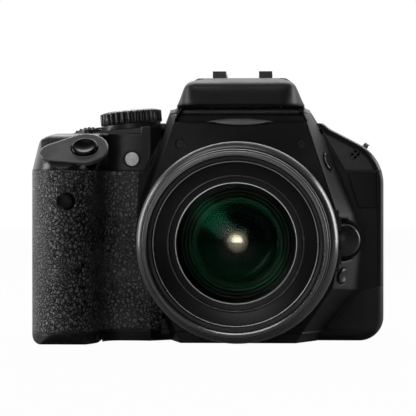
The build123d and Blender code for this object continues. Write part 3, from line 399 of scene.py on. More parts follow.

# %% [markdown]
# The casing is black polycarbonate. The facade and sides have a fine matte grain with painted glints
# on single grains, the top is smoother, the flash lid duller and the card door satin. The plate round
# the shutter button is painted a paler grey with much paler edges, and the facade's lip a light grey:
# both are painted highlights on black plastic, the sheen and the crescent of light these parts catch.

# %% Casing finishes
casing_black = finish("casing_black", (0.0035, 0.0035, 0.0036), (0.06, 0.06, 0.058), (0.36, 0.48),
                      grain_group, 0.00003, 2400.0, 0.001, 0.5, specular=0.22, painted_glint=0.12)
top_black = finish("top_black", (0.006, 0.006, 0.006), (0.04, 0.04, 0.038), (0.25, 0.35),
                   grain_group, 0.00002, 2700.0, 0.0014, 0.15, specular=0.4, painted_glint=0.2)
satin_black = finish("satin_black", (0.014, 0.014, 0.0137), (0.2, 0.2, 0.195), (0.2, 0.3),
                     grain_group, 0.000008, 3200.0, 0.0006, 0.9, specular=0.8)
# Painted sheen: the plate's tone, and still more its edges, are paler than the casing's black.
surround_painted_sheen = finish("surround_painted_sheen", (0.04, 0.04, 0.039), (0.4, 0.4, 0.39), (0.3, 0.42),
                        grain_group, 0.00001, 3000.0, 0.001, 0.9, specular=0.7)
# Painted highlight: the lip is light grey where black plastic catches the light.
lip_painted_highlight = finish("lip_painted_highlight", (0.42, 0.42, 0.41), (0.5, 0.5, 0.49), (0.32, 0.45),
                   grain_group, 0.00001, 3000.0, 0.0003, 0.3, specular=0.5)
lid_black = finish("lid_black", (0.006, 0.006, 0.006), (0.04, 0.04, 0.038), (0.42, 0.52),
                   grain_group, 0.00002, 2700.0, 0.0016, 0.15, specular=0.3, painted_glint=0.2)
frame_black = finish("frame_black", (0.01, 0.01, 0.01), None, (0.6, 0.75), grain_group, 0.00003, 1800.0)

# %% [markdown]
# Controls are moulded in polished tools and smoothed by fingers, so they shine more than the casing.
# Their edges are painted paler, partly as wear and partly as a painted highlight. Only gloss_black
# has no grain at all.

# %% Control finishes
control_black = finish("control_black", (0.005, 0.005, 0.005), (0.2, 0.2, 0.195), (0.2, 0.3),
                       grain_group, 0.000006, 3200.0, 0.0004, 0.9, specular=0.45)
gloss_black = finish("gloss_black", (0.002, 0.002, 0.0021), (0.015, 0.015, 0.015), (0.22, 0.3),
                     specular=0.14)
key_black = finish("key_black", (0.012, 0.012, 0.012), (0.06, 0.06, 0.058), (0.3, 0.42),
                   grain_group, 0.00001, 3000.0, 0.0003)
dial_black = finish("dial_black", (0.008, 0.008, 0.008), (0.3, 0.3, 0.29), (0.16, 0.26),
                    grain_group, 0.000006, 3000.0, 0.0005, 1.0, specular=0.8)

# %% [markdown]
# Soft rubber scatters light more than plastic, so the pads and the eyecup are rough. Only the grip
# has the leather grain, and its pebbles shine a little, with painted highlights on their crests and
# painted shade in their creases. The lens rings' rubber is firmer than the pads' and shines more.

# %% Rubber finishes
# Painted highlight on the pebble crests, painted shade in the creases.
grip_leather = finish("grip_leather", (0.002, 0.002, 0.002), (0.55, 0.55, 0.54), (0.26, 0.38),
                      leather_group, 0.0006, 640.0, 0.0012, 0.05, specular=0.35, painted_glint=0.4)
pad_rubber = finish("pad_rubber", (0.0075, 0.0075, 0.0076), (0.03, 0.03, 0.03), (0.55, 0.7),
                    grain_group, 0.00002, 2100.0, 0.0006)
eye_rubber = finish("eye_rubber", (0.008, 0.008, 0.008), (0.035, 0.035, 0.034), (0.6, 0.78),
                    grain_group, 0.00002, 1900.0, 0.0006)
ring_rubber = finish("ring_rubber", (0.007, 0.007, 0.007), (0.05, 0.05, 0.049), (0.36, 0.48),
                     grain_group, 0.000015, 2300.0, 0.0003)

# %% [markdown]
# The lens barrel and its rings are turned about one axis, so most of their finishes take their bump
# from the circular lines. The rims are metal or part metal, which makes the thin bright circles,
# and the funnel inside is a warm black.

# %% Lens finishes
lens_black = finish("lens_black", (0.008, 0.008, 0.0083), (0.06, 0.06, 0.06), (0.3, 0.42),
                    turned_group, 0.000006, 3200.0, 0.0004, specular=0.35)
lens_rim = finish("lens_rim", (0.04, 0.04, 0.041), (0.3, 0.3, 0.3), (0.2, 0.3),
                  turned_group, 0.00001, 4200.0, 0.0003, metal=0.3, specular=0.8)
ring_metal = finish("ring_metal", (0.26, 0.26, 0.265), (0.45, 0.45, 0.45), (0.2, 0.32),
                    turned_group, 0.000008, 4200.0, 0.0002, metal=1.0)
name_black = finish("name_black", (0.008, 0.008, 0.0084), (0.03, 0.03, 0.03), (0.42, 0.5),
                    grain_group, 0.00001, 3600.0, 0.0002)
funnel_black = finish("funnel_black", (0.012, 0.009, 0.007), (0.03, 0.024, 0.018), (0.3, 0.45),
                      turned_group, 0.00002, 2500.0, 0.0002)

# %% [markdown]
# Metal shows at the mount, the strap lugs, the shoe, the screws and the tripod socket. Each is the
# same shader with Metallic raised. The tone, and how far the roughness spreads, tell them apart.

# %% Metal finishes
mount_steel = finish("mount_steel", (0.56, 0.56, 0.57), (0.74, 0.74, 0.74), (0.22, 0.34),
                     turned_group, 0.000008, 4200.0, 0.0003, metal=1.0)
shoe_black = finish("shoe_black", (0.03, 0.03, 0.031), (0.3, 0.3, 0.3), (0.25, 0.38),
                    grain_group, 0.000008, 2600.0, 0.0003, 0.8, metal=0.8)
shoe_steel = finish("shoe_steel", (0.42, 0.42, 0.43), (0.62, 0.62, 0.62), (0.28, 0.42),
                    grain_group, 0.000008, 2600.0, 0.0003, metal=1.0)
screw_black = finish("screw_black", (0.012, 0.012, 0.012), (0.16, 0.16, 0.16), (0.34, 0.46),
                     grain_group, 0.000006, 3000.0, 0.0002, 0.9, metal=0.5, specular=0.3)
brass = finish("brass", (0.62, 0.5, 0.26), (0.8, 0.7, 0.45), (0.2, 0.34),
               grain_group, 0.000005, 2600.0, 0.0002, metal=1.0)
curtain_grey = finish("curtain_grey", (0.10, 0.10, 0.105), (0.2, 0.2, 0.2), (0.34, 0.48),
                      grain_group, 0.00001, 2000.0, 0.0002, metal=0.6)
mirror_silver = finish("mirror_silver", (0.86, 0.87, 0.88), (0.92, 0.92, 0.92), (0.02, 0.04), metal=1.0)

# %% [markdown]
# A few pieces inside the camera have colour: the memory card, the main board and the sensor's
# filter. The printed marks are a white that isn't quite clean, because pure white looks like paper.

# %% Coloured plastics
card_blue = finish("card_blue", (0.02, 0.045, 0.14), None, (0.4, 0.55), grain_group, 0.00001, 2600.0)
board_green = finish("board_green", (0.01, 0.09, 0.035), (0.03, 0.2, 0.09), (0.3, 0.5),
                     grain_group, 0.00002, 900.0, painted_glint=0.3)
white_mark = finish("white_mark", (0.72, 0.72, 0.70), (0.8, 0.8, 0.8), (0.4, 0.55),
                    grain_group, 0.000004, 3000.0)
sensor_teal = finish("sensor_teal", (0.02, 0.05, 0.05), (0.05, 0.12, 0.1), (0.05, 0.1), coat=0.8)

# %% [markdown]
# The lens's coating tints what the glass reflects: warm in the middle, green further out. A thin
# film could be worked out layer by layer, but a colour ramp on the distance from the axis gives the
# same bands, and each tint can be chosen one by one.

# %% Coating group
coating_group, ins, outs = new_group("lens_coating", [], [("Tint", "NodeSocketColor")])
tree = coating_group
glass_radius = 0.02  # metres, of the front element
reach = math_node(tree, "DIVIDE", axis_distance(tree)[0], glass_radius)
bands = node(tree, "ShaderNodeValToRGB")
tints = ((0.0, (1.0, 0.86, 0.62)), (0.2, (0.75, 0.8, 0.6)), (0.36, (0.12, 0.6, 0.42)),
         (0.6, (0.04, 0.7, 0.32)), (0.97, (0.03, 0.4, 0.2)))
bands.color_ramp.elements.remove(bands.color_ramp.elements[1])
for index, (spot, tint) in enumerate(tints):
    stop = bands.color_ramp.elements[0] if index == 0 else bands.color_ramp.elements.new(spot)
    stop.position = spot
    stop.color = (*tint, 1)
tree.links.new(reach, bands.inputs[0])
tree.links.new(bands.outputs[0], outs.inputs["Tint"])

# %% [markdown]
# Deep in the lens a small mirror reflects the spark lamp as a warm spot, the pupil. Its tone is
# painted warm in the middle and fades to black by the distance from the axis, a painted highlight
# that gives the reflection its soft glow; a disc of one tone would have a hard rim.

# %% Pupil group
PUPIL_RADIUS = 4.2
PUPIL_CORE = 0.6
pupil_glow_group, ins, outs = new_group("pupil_painted_glow", [], [("Shade", "NodeSocketFloat")])
tree = pupil_glow_group
fade = remap(tree, axis_distance(tree)[0], PUPIL_CORE * MM, PUPIL_RADIUS * MM)
tree.links.new(fade, outs.inputs["Shade"])

# %% [markdown]
# Clear glass is the Principled shader with full transmission. The lens glass looks dark because
# what lies behind it is black. A little smear from handling keeps it from looking too perfect.

# %% Clear glass
SMEAR_SCALE = 120.0
SMEAR_ROUGHNESS = 0.02


def glass(name, tint, rough, ior=1.5, coated=False):
    material = bpy.data.materials.new(name)
    material.use_nodes = True
    tree = material.node_tree
    shader = tree.nodes["Principled BSDF"]
    shader.inputs["Transmission Weight"].default_value = 1.0
    shader.inputs["IOR"].default_value = ior
    if coated:
        coating = node(tree, "ShaderNodeGroup", node_tree=coating_group)
        tree.links.new(coating.outputs[0], shader.inputs["Specular Tint"])
    handling = node(tree, "ShaderNodeGroup", node_tree=handling_group)
    handling.inputs["Scale"].default_value = SMEAR_SCALE
    blend = node(tree, "ShaderNodeMix", data_type="RGBA")
    blend.inputs[6].default_value = (*tint, 1)
    blend.inputs[7].default_value = (*(c * 0.92 for c in tint), 1)
    tree.links.new(handling.outputs[0], blend.inputs[0])
    tree.links.new(blend.outputs[2], shader.inputs["Base Color"])
    spread = remap(tree, handling.outputs[0], 0, 1, rough, rough + SMEAR_ROUGHNESS)
    tree.links.new(spread, shader.inputs["Roughness"])
    print("glass:", name)
    return material


coated_glass = glass("coated_glass", (0.7, 0.7, 0.68), 0.08, 1.26, coated=True)
optic_glass = glass("optic_glass", (0.9, 0.94, 0.96), 0.02)
flash_window = glass("flash_window", (0.95, 0.95, 0.93), 0.2)

# %% [markdown]
# Glass over something black never shows what is behind it, so the deep element, the screen and the
# remote sensor's window are opaque and only reflect. The lamp window is frosted, and the pupil is a
# mirror whose tone fades with the painted glow group, a painted highlight.

# %% Dark and frosted glass
inner_glass = finish("inner_glass", (0.001, 0.001, 0.0015), (0.002, 0.002, 0.003), (0.04, 0.07),
                     edge=0.0, specular=0.14)


def pupil_finish(name):
    """A warm mirror tone that fades to black towards the edge of the small element: a painted glow."""
    material = bpy.data.materials.new(name)
    material.use_nodes = True
    tree = material.node_tree
    shader = tree.nodes["Principled BSDF"]
    shader.inputs["Metallic"].default_value = 1.0
    fade = node(tree, "ShaderNodeGroup", node_tree=pupil_glow_group)
    blend = node(tree, "ShaderNodeMix", data_type="RGBA")
    blend.inputs[6].default_value = (1.0, 0.9, 0.7, 1)
    blend.inputs[7].default_value = (0.002, 0.002, 0.003, 1)
    tree.links.new(fade.outputs[0], blend.inputs[0])
    tree.links.new(blend.outputs[2], shader.inputs["Base Color"])
    tree.links.new(remap(tree, fade.outputs[0], 0.0, 1.0, 0.06, 0.3), shader.inputs["Roughness"])
    return material


pupil_glass = pupil_finish("pupil_glass")
lamp_window = finish("lamp_window", (0.9, 0.9, 0.88), (1.0, 1.0, 0.98), (0.3, 0.4),
                     metal=0.35, specular=0.9, coat=0.4)
screen_black = finish("screen_black", (0.003, 0.003, 0.004), (0.012, 0.012, 0.014), (0.06, 0.1),
                      coat=0.9, marks=25.0)
ir_window = finish("ir_window", (0.002, 0.001, 0.001), (0.008, 0.004, 0.004), (0.4, 0.5), specular=0.2)

# %% [markdown]
# ## Carried-over pieces
# Most of the camera's pieces already have their true shape, so they keep it and only take their
# finish here. A table of finish and pieces is quicker to read than a call for each. The pieces that
# later cells model again are dressed too, so that no node is left bare.

# %% Dress the frame's nodes
DRESS = {
    casing_black: ["front_cover", "rear_cover", "base_cover", "battery_door", "screen_housing",
                   "screen_hinge"],
    top_black: ["top_cover"],
    lid_black: ["flash_head"],
    surround_painted_sheen: ["shutter_surround"],
    satin_black: ["card_door"],
    control_black: ["lens_release_button", "depth_preview_button", "flash_button"],
    gloss_black: ["shutter_button", "badge_plate"],
    key_black: ["menu_button", "info_button", "live_view_button", "zoom_button", "ae_lock_button",
                "playback_button", "erase_button", "cross_keys", "set_button", "iso_button",
                "af_switch", "stabiliser_switch", "power_lever", "diopter_dial"],
    dial_black: ["mode_dial", "main_dial"],
    frame_black: ["mirror_box", "shutter_frame", "battery"],
    grip_leather: ["grip_rubber"],
    pad_rubber: ["body_rubber_pads", "terminal_door"],
    eye_rubber: ["eyecup"],
    ring_rubber: ["zoom_ring", "focus_ring"],
    lens_black: ["lens_barrel", "lens_mount_plate"],
    lens_rim: ["inner_barrel"],
    name_black: ["name_ring"],
    mount_steel: ["mount_ring"],
    shoe_black: ["hot_shoe"],
    shoe_steel: ["strap_lugs"],
    screw_black: ["screws"],
    brass: ["tripod_socket"],
    curtain_grey: ["shutter_curtain"],
    mirror_silver: ["reflex_mirror"],
    card_blue: ["memory_card"],
    board_green: ["main_board"],
    sensor_teal: ["image_sensor"],
    coated_glass: ["front_element"],
    optic_glass: ["viewfinder_optics", "rear_elements"],
    lamp_window: ["front_windows"],
    flash_window: ["flash_window"],
    screen_black: ["screen_glass"],
}
for material, names in DRESS.items():
    for name in names:
        piece = NODES[name]
        if not piece.material_slots:
            piece.data.materials.append(material)
        for slot in piece.material_slots:
            slot.material = material
undressed = sorted(set(NODES) - {name for names in DRESS.values() for name in names})
print("nodes without a finish:", undressed)

# %% [markdown]
# ## Turned and fluted pieces
# Lens rings and dials are turned pieces. A cylinder with loop cuts could be pushed into shape, but
# a turner thinks in half a section. So `turned` draws one with single vertices, extruded one after
# another, and spins it about Z.

# %% Turning
def turned(outline, steps=128):
    """Spins half a section, given as (radius, height) points in millimetres, about the Z axis."""
    clear_selection()
    bpy.ops.mesh.primitive_plane_add(size=0.01)
    piece = bpy.context.object
    bpy.ops.object.mode_set(mode="EDIT")
    bpy.ops.mesh.select_mode(type="VERT")
    bpy.ops.mesh.select_all(action="SELECT")
    bpy.ops.mesh.merge(type="CENTER")
    here, *others = outline
    bpy.ops.transform.translate(value=(here[0] * MM, 0, here[1] * MM))
    if here[0] > 0:
        others.append(here)
    for point in others:
        step = ((point[0] - here[0]) * MM, 0, (point[1] - here[1]) * MM)
        bpy.ops.mesh.extrude_region_move(TRANSFORM_OT_translate={"value": step})
        here = point
    bpy.ops.mesh.select_all(action="SELECT")
    bpy.ops.mesh.spin(steps=steps, angle=math.tau, center=(0, 0, 0), axis=(0, 0, 1))
    bpy.ops.mesh.select_all(action="SELECT")
    bpy.ops.mesh.remove_doubles(threshold=1e-7)
    bpy.ops.mesh.normals_make_consistent(inside=False)
    bpy.ops.object.mode_set(mode="OBJECT")
    return piece

# %% [markdown]
# A dial's rim has flutes or teeth for the finger. Cutting them one by one would be slow, so `fluted`
# starts from a drum and draws some of its vertices inwards. `ribs` bevels one rib and spins copies
# of it round the axis.

# %% Fluting and ribs
def fluted(radius, low, high, count, scales):
    """A drum between two heights, each of whose flutes draws its vertices in by these scales."""
    clear_selection()
    around = count * len(scales)
    bpy.ops.mesh.primitive_cylinder_add(vertices=around, radius=radius * MM, depth=(high - low) * MM)
    piece = bpy.context.object
    bpy.ops.object.mode_set(mode="EDIT")
    for phase, scale in enumerate(scales):
        def in_phase(co, _):
            step = round(math.atan2(co.y, co.x) / math.tau * around)
            return step % len(scales) == phase

        pick(piece, in_phase, "VERT")
        bpy.ops.transform.resize(value=(scale, scale, 1), center_override=(0, 0, 0))
    bpy.ops.mesh.select_all(action="SELECT")
    bpy.ops.transform.translate(value=(0, 0, (low + high) / 2 * MM))
    bpy.ops.object.mode_set(mode="OBJECT")
    return piece


def ribs(radius, low, high, count, width, height):
    """One rounded rib beside the Z axis, copied around it."""
    piece = block((height * MM, width * MM, (high - low) * MM))
    bpy.ops.mesh.bevel(offset=min(width, height) * 0.3 * MM, segments=2, affect="EDGES")
    bpy.ops.mesh.select_all(action="SELECT")
    bpy.ops.transform.translate(value=((radius - height / 2) * MM, 0, (low + high) / 2 * MM))
    bpy.ops.mesh.spin(steps=count, angle=math.tau, dupli=True, center=(0, 0, 0), axis=(0, 0, 1))
    bpy.ops.mesh.select_all(action="SELECT")
    bpy.ops.mesh.remove_doubles(threshold=1e-7)
    bpy.ops.object.mode_set(mode="OBJECT")
    return piece

# %% [markdown]
# Pieces are turned about Z at the origin, where half a section is easy to draw. `stand` puts them in
# place afterwards. The functions after it measure the frame, so that a new piece can take its sizes
# from the node it stands for. Typed-in places would go wrong as soon as the frame changed.

# %% Standing and measuring
def stand(piece, place, direction):
    """Stands a piece on a place, with its own Z axis along a direction."""
    piece.location = place
    piece.rotation_euler = Vector(direction).to_track_quat("Z", "Y").to_euler()
    only(piece)
    bpy.ops.object.transform_apply(location=True, rotation=True, scale=True)
    return piece


FORWARD = Vector((0, -1, 0))
LENS_AXIS = Vector((0, 0, AXIS_Z))


def off_axis(place):
    """How far a place is from the lens axis."""
    return math.hypot(place.x, place.z - AXIS_Z)


def ring_of(name):
    """A lens ring's outer radius, and its back and front ahead of the origin, in millimetres."""
    low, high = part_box(name)
    return (high.x - low.x) / 2 / MM, -high.y / MM, -low.y / MM


def seat_of(name, direction):
    """The middle of a node across a direction, at its highest place along it."""
    direction = Vector(direction).normalized()
    low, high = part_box(name)
    middle = (low + high) / 2
    top = max(vertex.co.dot(direction) for vertex in NODES[name].data.vertices)
    return middle + direction * (top - middle.dot(direction)), direction

# %% [markdown]
# ## The lens rings
# The wide zoom ring has ribs of rubber and a smooth sloping nose. A bump could suggest the ribs,
# but they break the ring's outline, so they are modelled. The section follows the frame's ring, and
# the ribs stay inside its radius.

# %% Zoom ring
radius, back, front = ring_of("zoom_ring")
bore = radius - 2.5
band = radius - 0.8  # between the ribs
nose = front - 7.0  # where the smooth band in front of the ribs starts
rim = front - 2.2  # back of the sloping front edge
inside = radius - 4.1
zoom_section = [
    (bore, back), (radius - 0.5, back), (radius - 0.1, back + 0.5), (radius, back + 0.9),
    (radius, back + 3.1), (radius - 0.3, back + 3.5), (band, back + 3.7),
    (band, nose - 0.2), (radius - 0.3, nose), (radius, nose + 0.4),
    (radius, rim - 0.2), (radius - 0.15, rim + 0.3), (radius - 1.9, front - 0.1),
    (radius - 2.3, front), (inside + 0.2, front - 0.1), (inside, front - 0.4), (inside, rim),
    (bore, rim),
]
zoom_ribs = ribs(radius - 0.05, back + 4.0, nose - 0.5, 72, 1.9, 0.85)
settle(joined([turned(zoom_section, 144), zoom_ribs]),
       "zoom_ring_ribbed", "zoom", ring_rubber, 40, ["zoom_ring"])
zoom_grip = stand(bpy.context.object, LENS_AXIS, FORWARD)
paint(zoom_grip, lens_black, lambda co, _: -co.y > (nose + 0.2) * MM)
paint(zoom_grip, lens_rim, lambda co, _: -co.y > rim * MM and off_axis(co) > (radius - 2.4) * MM)

# %% [markdown]
# The narrow focus ring has finer ribs between two smooth edges. It is made in the same way, from its
# own section, because its edges and its ribs differ too much for a scaled copy.

# %% Focus ring
radius, back, front = ring_of("focus_ring")
bore = radius - 1.1
band = radius - 0.45
focus_section = [
    (bore, back), (radius - 0.5, back), (radius - 0.1, back + 0.3), (radius, back + 0.8),
    (radius, back + 1.5), (radius - 0.3, back + 1.7), (band, back + 1.9),
    (band, front - 2.2), (radius - 0.3, front - 2.0), (radius, front - 1.8),
    (radius, front - 0.5), (radius - 0.2, front - 0.1), (radius - 0.5, front), (bore, front),
]
focus_ribs = ribs(radius - 0.02, back + 2.0, front - 2.3, 120, 0.9, 0.5)
settle(joined([turned(focus_section, 144), focus_ribs]),
       "focus_ring_ribbed", "focus", ring_rubber, 40, ["focus_ring"])
stand(bpy.context.object, LENS_AXIS, FORWARD)

# %% [markdown]
# The front barrel ends in a turned rim with the filter thread inside. A true thread is a helix, but
# from outside it can't be told from rings, which a turned section can hold. Each ridge catches the
# light as a thin bright circle, so each one is modelled.

# %% Front barrel
radius, back, front = ring_of("inner_barrel")
thread = radius - 1.7
pitch = 0.75
thread_section = []
for turn in range(6):
    start = front - 0.8 - turn * pitch
    thread_section += [(thread, start), (thread + 0.45, start - pitch * 0.5)]
tube_bore = radius - 2.9
glass_step = 20.1  # radius of the step that holds the glass
barrel_section = [
    (tube_bore, back), (radius - 0.5, back), (radius - 0.5, front - 1.9), (radius - 0.4, front - 1.7),
    (radius - 0.1, front - 1.65), (radius, front - 1.5), (radius, front - 0.6),
    (radius - 0.15, front - 0.2), (radius - 0.45, front), (radius - 1.0, front),
    (radius - 1.1, front - 0.12), (thread + 0.25, front - 0.3),
    *thread_section,
    (thread, front - 5.4), (tube_bore + 0.2, front - 5.5), (tube_bore, front - 5.7),
    (tube_bore, front - 17), (glass_step, front - 17), (glass_step, front - 19), (tube_bore, front - 19),
]
barrel = settle(stand(turned(barrel_section, 160), LENS_AXIS, FORWARD),
                "front_barrel_turned", "zoom_tube", lens_black, 30, ["inner_barrel"])
paint(barrel, ring_metal, lambda co, _: -co.y > (front - 0.5) * MM and off_axis(co) < (radius - 0.95) * MM)
paint(barrel, lens_rim, lambda co, _: -co.y > (front - 1.7) * MM and off_axis(co) > (radius - 0.95) * MM)

# %% [markdown]
# Inside the thread lies the ring that would carry the lens's name, here a bare matte cone. It ends
# in a small raised bead and three fine steps. A bump could draw the steps, but each has to catch a
# thin line of light of its own, so they are in the section.

# %% Name ring
radius, back, front = ring_of("name_ring")
bead = radius - 5.0  # the bead's crest
stairs = []
for step in range(1, 4):
    edge = bead + 0.1 - step * 0.45
    stairs += [(edge, front - 5.5 - step * 0.5), (edge - 0.12, front - 5.9 - step * 0.5)]
throat = radius - 6.8
cone_section = [
    (radius - 0.6, front - 1.6), (radius, front - 1.4), (radius, front - 0.25), (radius - 0.12, front),
    (radius - 0.45, front - 0.05), (radius - 0.6, front - 0.45), (radius - 0.9, front - 0.8),
    (bead + 0.7, front - 4.6), (bead + 0.45, front - 4.75), (bead + 0.3, front - 4.45),
    (bead, front - 4.4), (bead - 0.25, front - 4.8),
    *stairs,
    (throat, front - 7.5), (throat, front - 8.9), (bead + 0.1, front - 7.0),
]
name_cone = settle(stand(turned(cone_section, 160), LENS_AXIS, FORWARD),
                   "name_ring_stepped", "zoom_tube", name_black, 30, ["name_ring"])
paint(name_cone, ring_metal,
      lambda co, _: off_axis(co) > (radius - 0.5) * MM and -co.y > (front - 0.6) * MM)
paint(name_cone, lens_rim, lambda co, _: (bead - 0.2) * MM < off_axis(co) < (bead + 0.5) * MM)

# %% [markdown]
# A narrow bright ring holds the glass. It is a small section of its own, because it is a separate
# piece on a real lens too, screwed in from the front.

# %% Glass retaining ring
held, _, glass_front = ring_of("front_element")
seat_section = [
    (held - 0.25, glass_front + 0.1), (held - 0.25, glass_front + 0.5), (held - 0.05, glass_front + 0.75),
    (held + 0.3, glass_front + 0.75), (held + 0.45, glass_front + 0.5), (held + 0.45, glass_front - 0.6),
    (held + 0.1, glass_front - 0.6),
]
settle(stand(turned(seat_section, 128), LENS_AXIS, FORWARD),
       "glass_retaining_ring", "zoom_tube", ring_metal, 30)

# %% [markdown]
# ## The glass
# The front element is a shallow dome over a hollow back. A flattened sphere would do for the dome,
# but the two faces of a real lens are caps of spheres of different size. So `cap` gives the points
# of a spherical cap, and one section holds both faces.

# %% Front element
def cap(reach, top, curve, count=14):
    """Points of a spherical cap from the axis outwards."""
    spots = [reach * n / count for n in range(count + 1)]
    return [(r, top - curve + math.sqrt(curve**2 - r**2)) for r in spots]


radius, back, front = ring_of("front_element")
rise = 3.0
dome = (radius**2 + rise**2) / (2 * rise)
hollow = 60.0  # radius of the sphere behind
glass_section = cap(radius - 0.15, front, dome)
glass_section += [(radius, front - rise - 0.2), (radius, back + 0.2), (radius - 0.3, back)]
glass_section += [(r, back + 1.2 - hollow + math.sqrt(hollow**2 - r**2)) for r in (14.0, 10.0, 5.0, 0.0)]
settle(stand(turned(glass_section, 128), LENS_AXIS, FORWARD),
       "front_glass_domed", "zoom_tube", coated_glass, 60, ["front_element"])

# %% [markdown]
# Behind the front glass a stepped funnel keeps stray light away and leads to a smaller element. An
# empty black tube would look like a hole, and it is these circles, one behind the other, that give
# the lens its depth.

# %% Inner funnel
stair_depth = 0.9
funnel_back = back - 8.5
funnel_section = [(radius - 0.6, back - 0.3), (radius - 0.6, back - 1.4)]
for step in range(5):
    edge = radius - 1.4 - step * 1.15
    level = back - 1.4 - step * stair_depth
    funnel_section += [(edge + 0.5, level), (edge, level - 0.1)]
funnel_section += [(13.2, back - 5.6), (13.0, back - 6.4), (13.0, funnel_back)]
funnel_section += [(radius - 0.1, funnel_back), (radius - 0.1, back - 0.3)]
settle(stand(turned(funnel_section, 128), LENS_AXIS, FORWARD),
       "inner_funnel", "zoom_tube", funnel_black, 30)

# %% [markdown]
# The deep element fills the end of the funnel, and the pupil is a small cap just in front of it. One
# mesh could carry both, but the pupil's finish needs faces of its own.

# %% Inner element and pupil
inner_section = cap(12.7, back - 2.6, 24.0)
inner_section += [(12.9, back - 6.6), (12.9, funnel_back + 0.1), (0.0, funnel_back + 0.1)]
settle(stand(turned(inner_section, 96), LENS_AXIS, FORWARD),
       "inner_glass", "zoom_tube", inner_glass, 60)
pupil_front = back - 2.2
pupil_section = cap(PUPIL_RADIUS, pupil_front, 30.0, 8)
pupil_section += [(4.3, pupil_front - 0.5), (4.0, pupil_front - 1.0), (0, pupil_front - 1.0)]
settle(stand(turned(pupil_section, 64), LENS_AXIS, FORWARD),
       "pupil_glass", "zoom_tube", pupil_glass, 60)

# %% [markdown]
# ## The top controls
# The shutter button is a glossy dish in an oval plate. A scaled sphere would bulge where the finger
# should rest, so the hollow, the rounded rim and the stem are drawn as one section. The button
# stands on the line of its press, which the frame's joint gives.

# %% Shutter button
press = -Vector(JOINTS["shutter_press"]["axis"])
place, direction = seat_of("shutter_button", press)
button_section = [
    (0, -0.6), (1.6, -0.54), (2.8, -0.32), (3.6, -0.08), (4.05, 0.0), (4.4, -0.06), (4.7, -0.3),
    (4.85, -0.7), (4.9, -1.2), (4.9, -4.5), (5.8, -4.5), (5.8, -5.3), (0, -5.3),
]
settle(stand(turned(button_section, 96), place, direction),
       "shutter_button_dished", "release", gloss_black, 40, ["shutter_button"])

# %% [markdown]
# The command wheel has fine teeth for the fingertip. Teeth cut one by one would differ, but a drum
# whose vertices are drawn in keeps all 42 alike, and a small bevel rounds their corners.

# %% Command wheel
low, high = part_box("main_dial")
axle_end = (high.y - low.y) / 2 / MM
wheel_side = axle_end - 2.2
wheel_radius = (high.x - low.x) / 2 / MM - 0.02
toothed = fluted(wheel_radius, -wheel_side, wheel_side, 42, (1, 1, 0.975, 0.955, 0.975))
bevel_modifier(toothed, 0.2 * MM, 2, 50)
spindle = turned([(0, axle_end), (1.3, axle_end), (1.5, axle_end - 0.2),
                  (1.5, 0.2 - axle_end), (1.3, -axle_end), (0, -axle_end)], 32)
settle(stand(joined([toothed, spindle]), (low + high) / 2, JOINTS["main_dial_turn"]["axis"]),
       "command_wheel_toothed", "front_wheel", dial_black, 30, ["main_dial"])

# %% [markdown]
# The mode dial has thirty wide flutes, a raised crown that carries its numbers, and a stem that goes
# down into the camera. The three are made apart, each in the easiest way, and joined.

# %% Mode dial
dial_seat = Vector(JOINTS["mode_dial_turn"]["pos_m"])
dial_axis = Vector(JOINTS["mode_dial_turn"]["axis"])
crown_top = 7.4
knob = fluted(11.8, 2.5, 6.9, 30, (1, 1, 0.98, 0.93, 0.885, 0.885, 0.93, 0.98))
bevel_modifier(knob, 0.3 * MM, 2, 50)
crown = turned([(0, crown_top - 0.3), (6.6, crown_top - 0.3), (6.8, crown_top - 0.1), (7.0, crown_top),
                (9.9, crown_top), (10.6, crown_top - 0.15), (11.1, 6.9), (11.1, 6.5), (0, 6.5)], 128)
stem = turned([(0, 3.0), (3, 3.0), (3, -3.4), (5, -3.4), (5, -4.4), (3, -4.4), (3, -6), (0, -6)], 48)
settle(stand(joined([knob, crown, stem]), dial_seat, dial_axis),
       "mode_dial_fluted", "mode_selector", dial_black, 30, ["mode_dial"])

# %% [markdown]
# The numbers on the mode dial and on the zoom ring are pad-printed ink. An image would blur close
# up, so they are text turned into mesh, a few hundredths of a millimetre proud. Each is laid out on
# one side and then turned about the axis to its place.

# %% Printed labels
def printed(label, size):
    """A thin printed label that lies flat, centred on the origin."""
    clear_selection()
    bpy.ops.object.text_add()
    words = bpy.context.object
    words.data.body = label
    words.data.size = size * MM
    words.data.align_x = "CENTER"
    words.data.align_y = "CENTER"
    words.data.extrude = 0.02 * MM
    words.data.resolution_u = 3
    bpy.ops.object.convert(target="MESH")
    return bpy.context.object


def turned_about(piece, angle):
    """Turns a piece about the world's Z axis through the origin."""
    only(piece)
    bpy.ops.transform.rotate(value=angle, orient_axis="Z", center_override=(0, 0, 0))
    bpy.ops.object.transform_apply(location=True, rotation=True, scale=True)
    return piece

# %% [markdown]
# The dial's ten digits stand round its crown, and the zoom ring carries its focal lengths. Each set
# is joined into one piece that turns with its dial or ring.

# %% Printed numbers
digits = []
for number in range(10):
    digit = printed(str(number), 2.1)
    digit.location = (0, 8.5 * MM, (crown_top + 0.01) * MM)
    bpy.ops.object.transform_apply(location=True, rotation=True, scale=True)
    digits.append(turned_about(digit, -number * math.tau / 10))
settle(stand(joined(digits), dial_seat, dial_axis), "mode_numbers", "mode_selector", white_mark, 0)

radius, back, front = ring_of("zoom_ring")
apart = 17  # degrees between two focal lengths
lengths = []
for index, number in enumerate((18, 24, 35, 45, 55)):
    length = printed(str(number), 2.2)
    length.rotation_euler = (math.radians(90), 0, math.radians(180))
    length.location = (0, (radius + 0.01) * MM, (front - 4.6) * MM)
    bpy.ops.object.transform_apply(location=True, rotation=True, scale=True)
    lengths.append(turned_about(length, math.radians((index - 2) * apart)))
settle(stand(joined(lengths), LENS_AXIS, FORWARD), "zoom_numbers", "zoom", white_mark, 0)

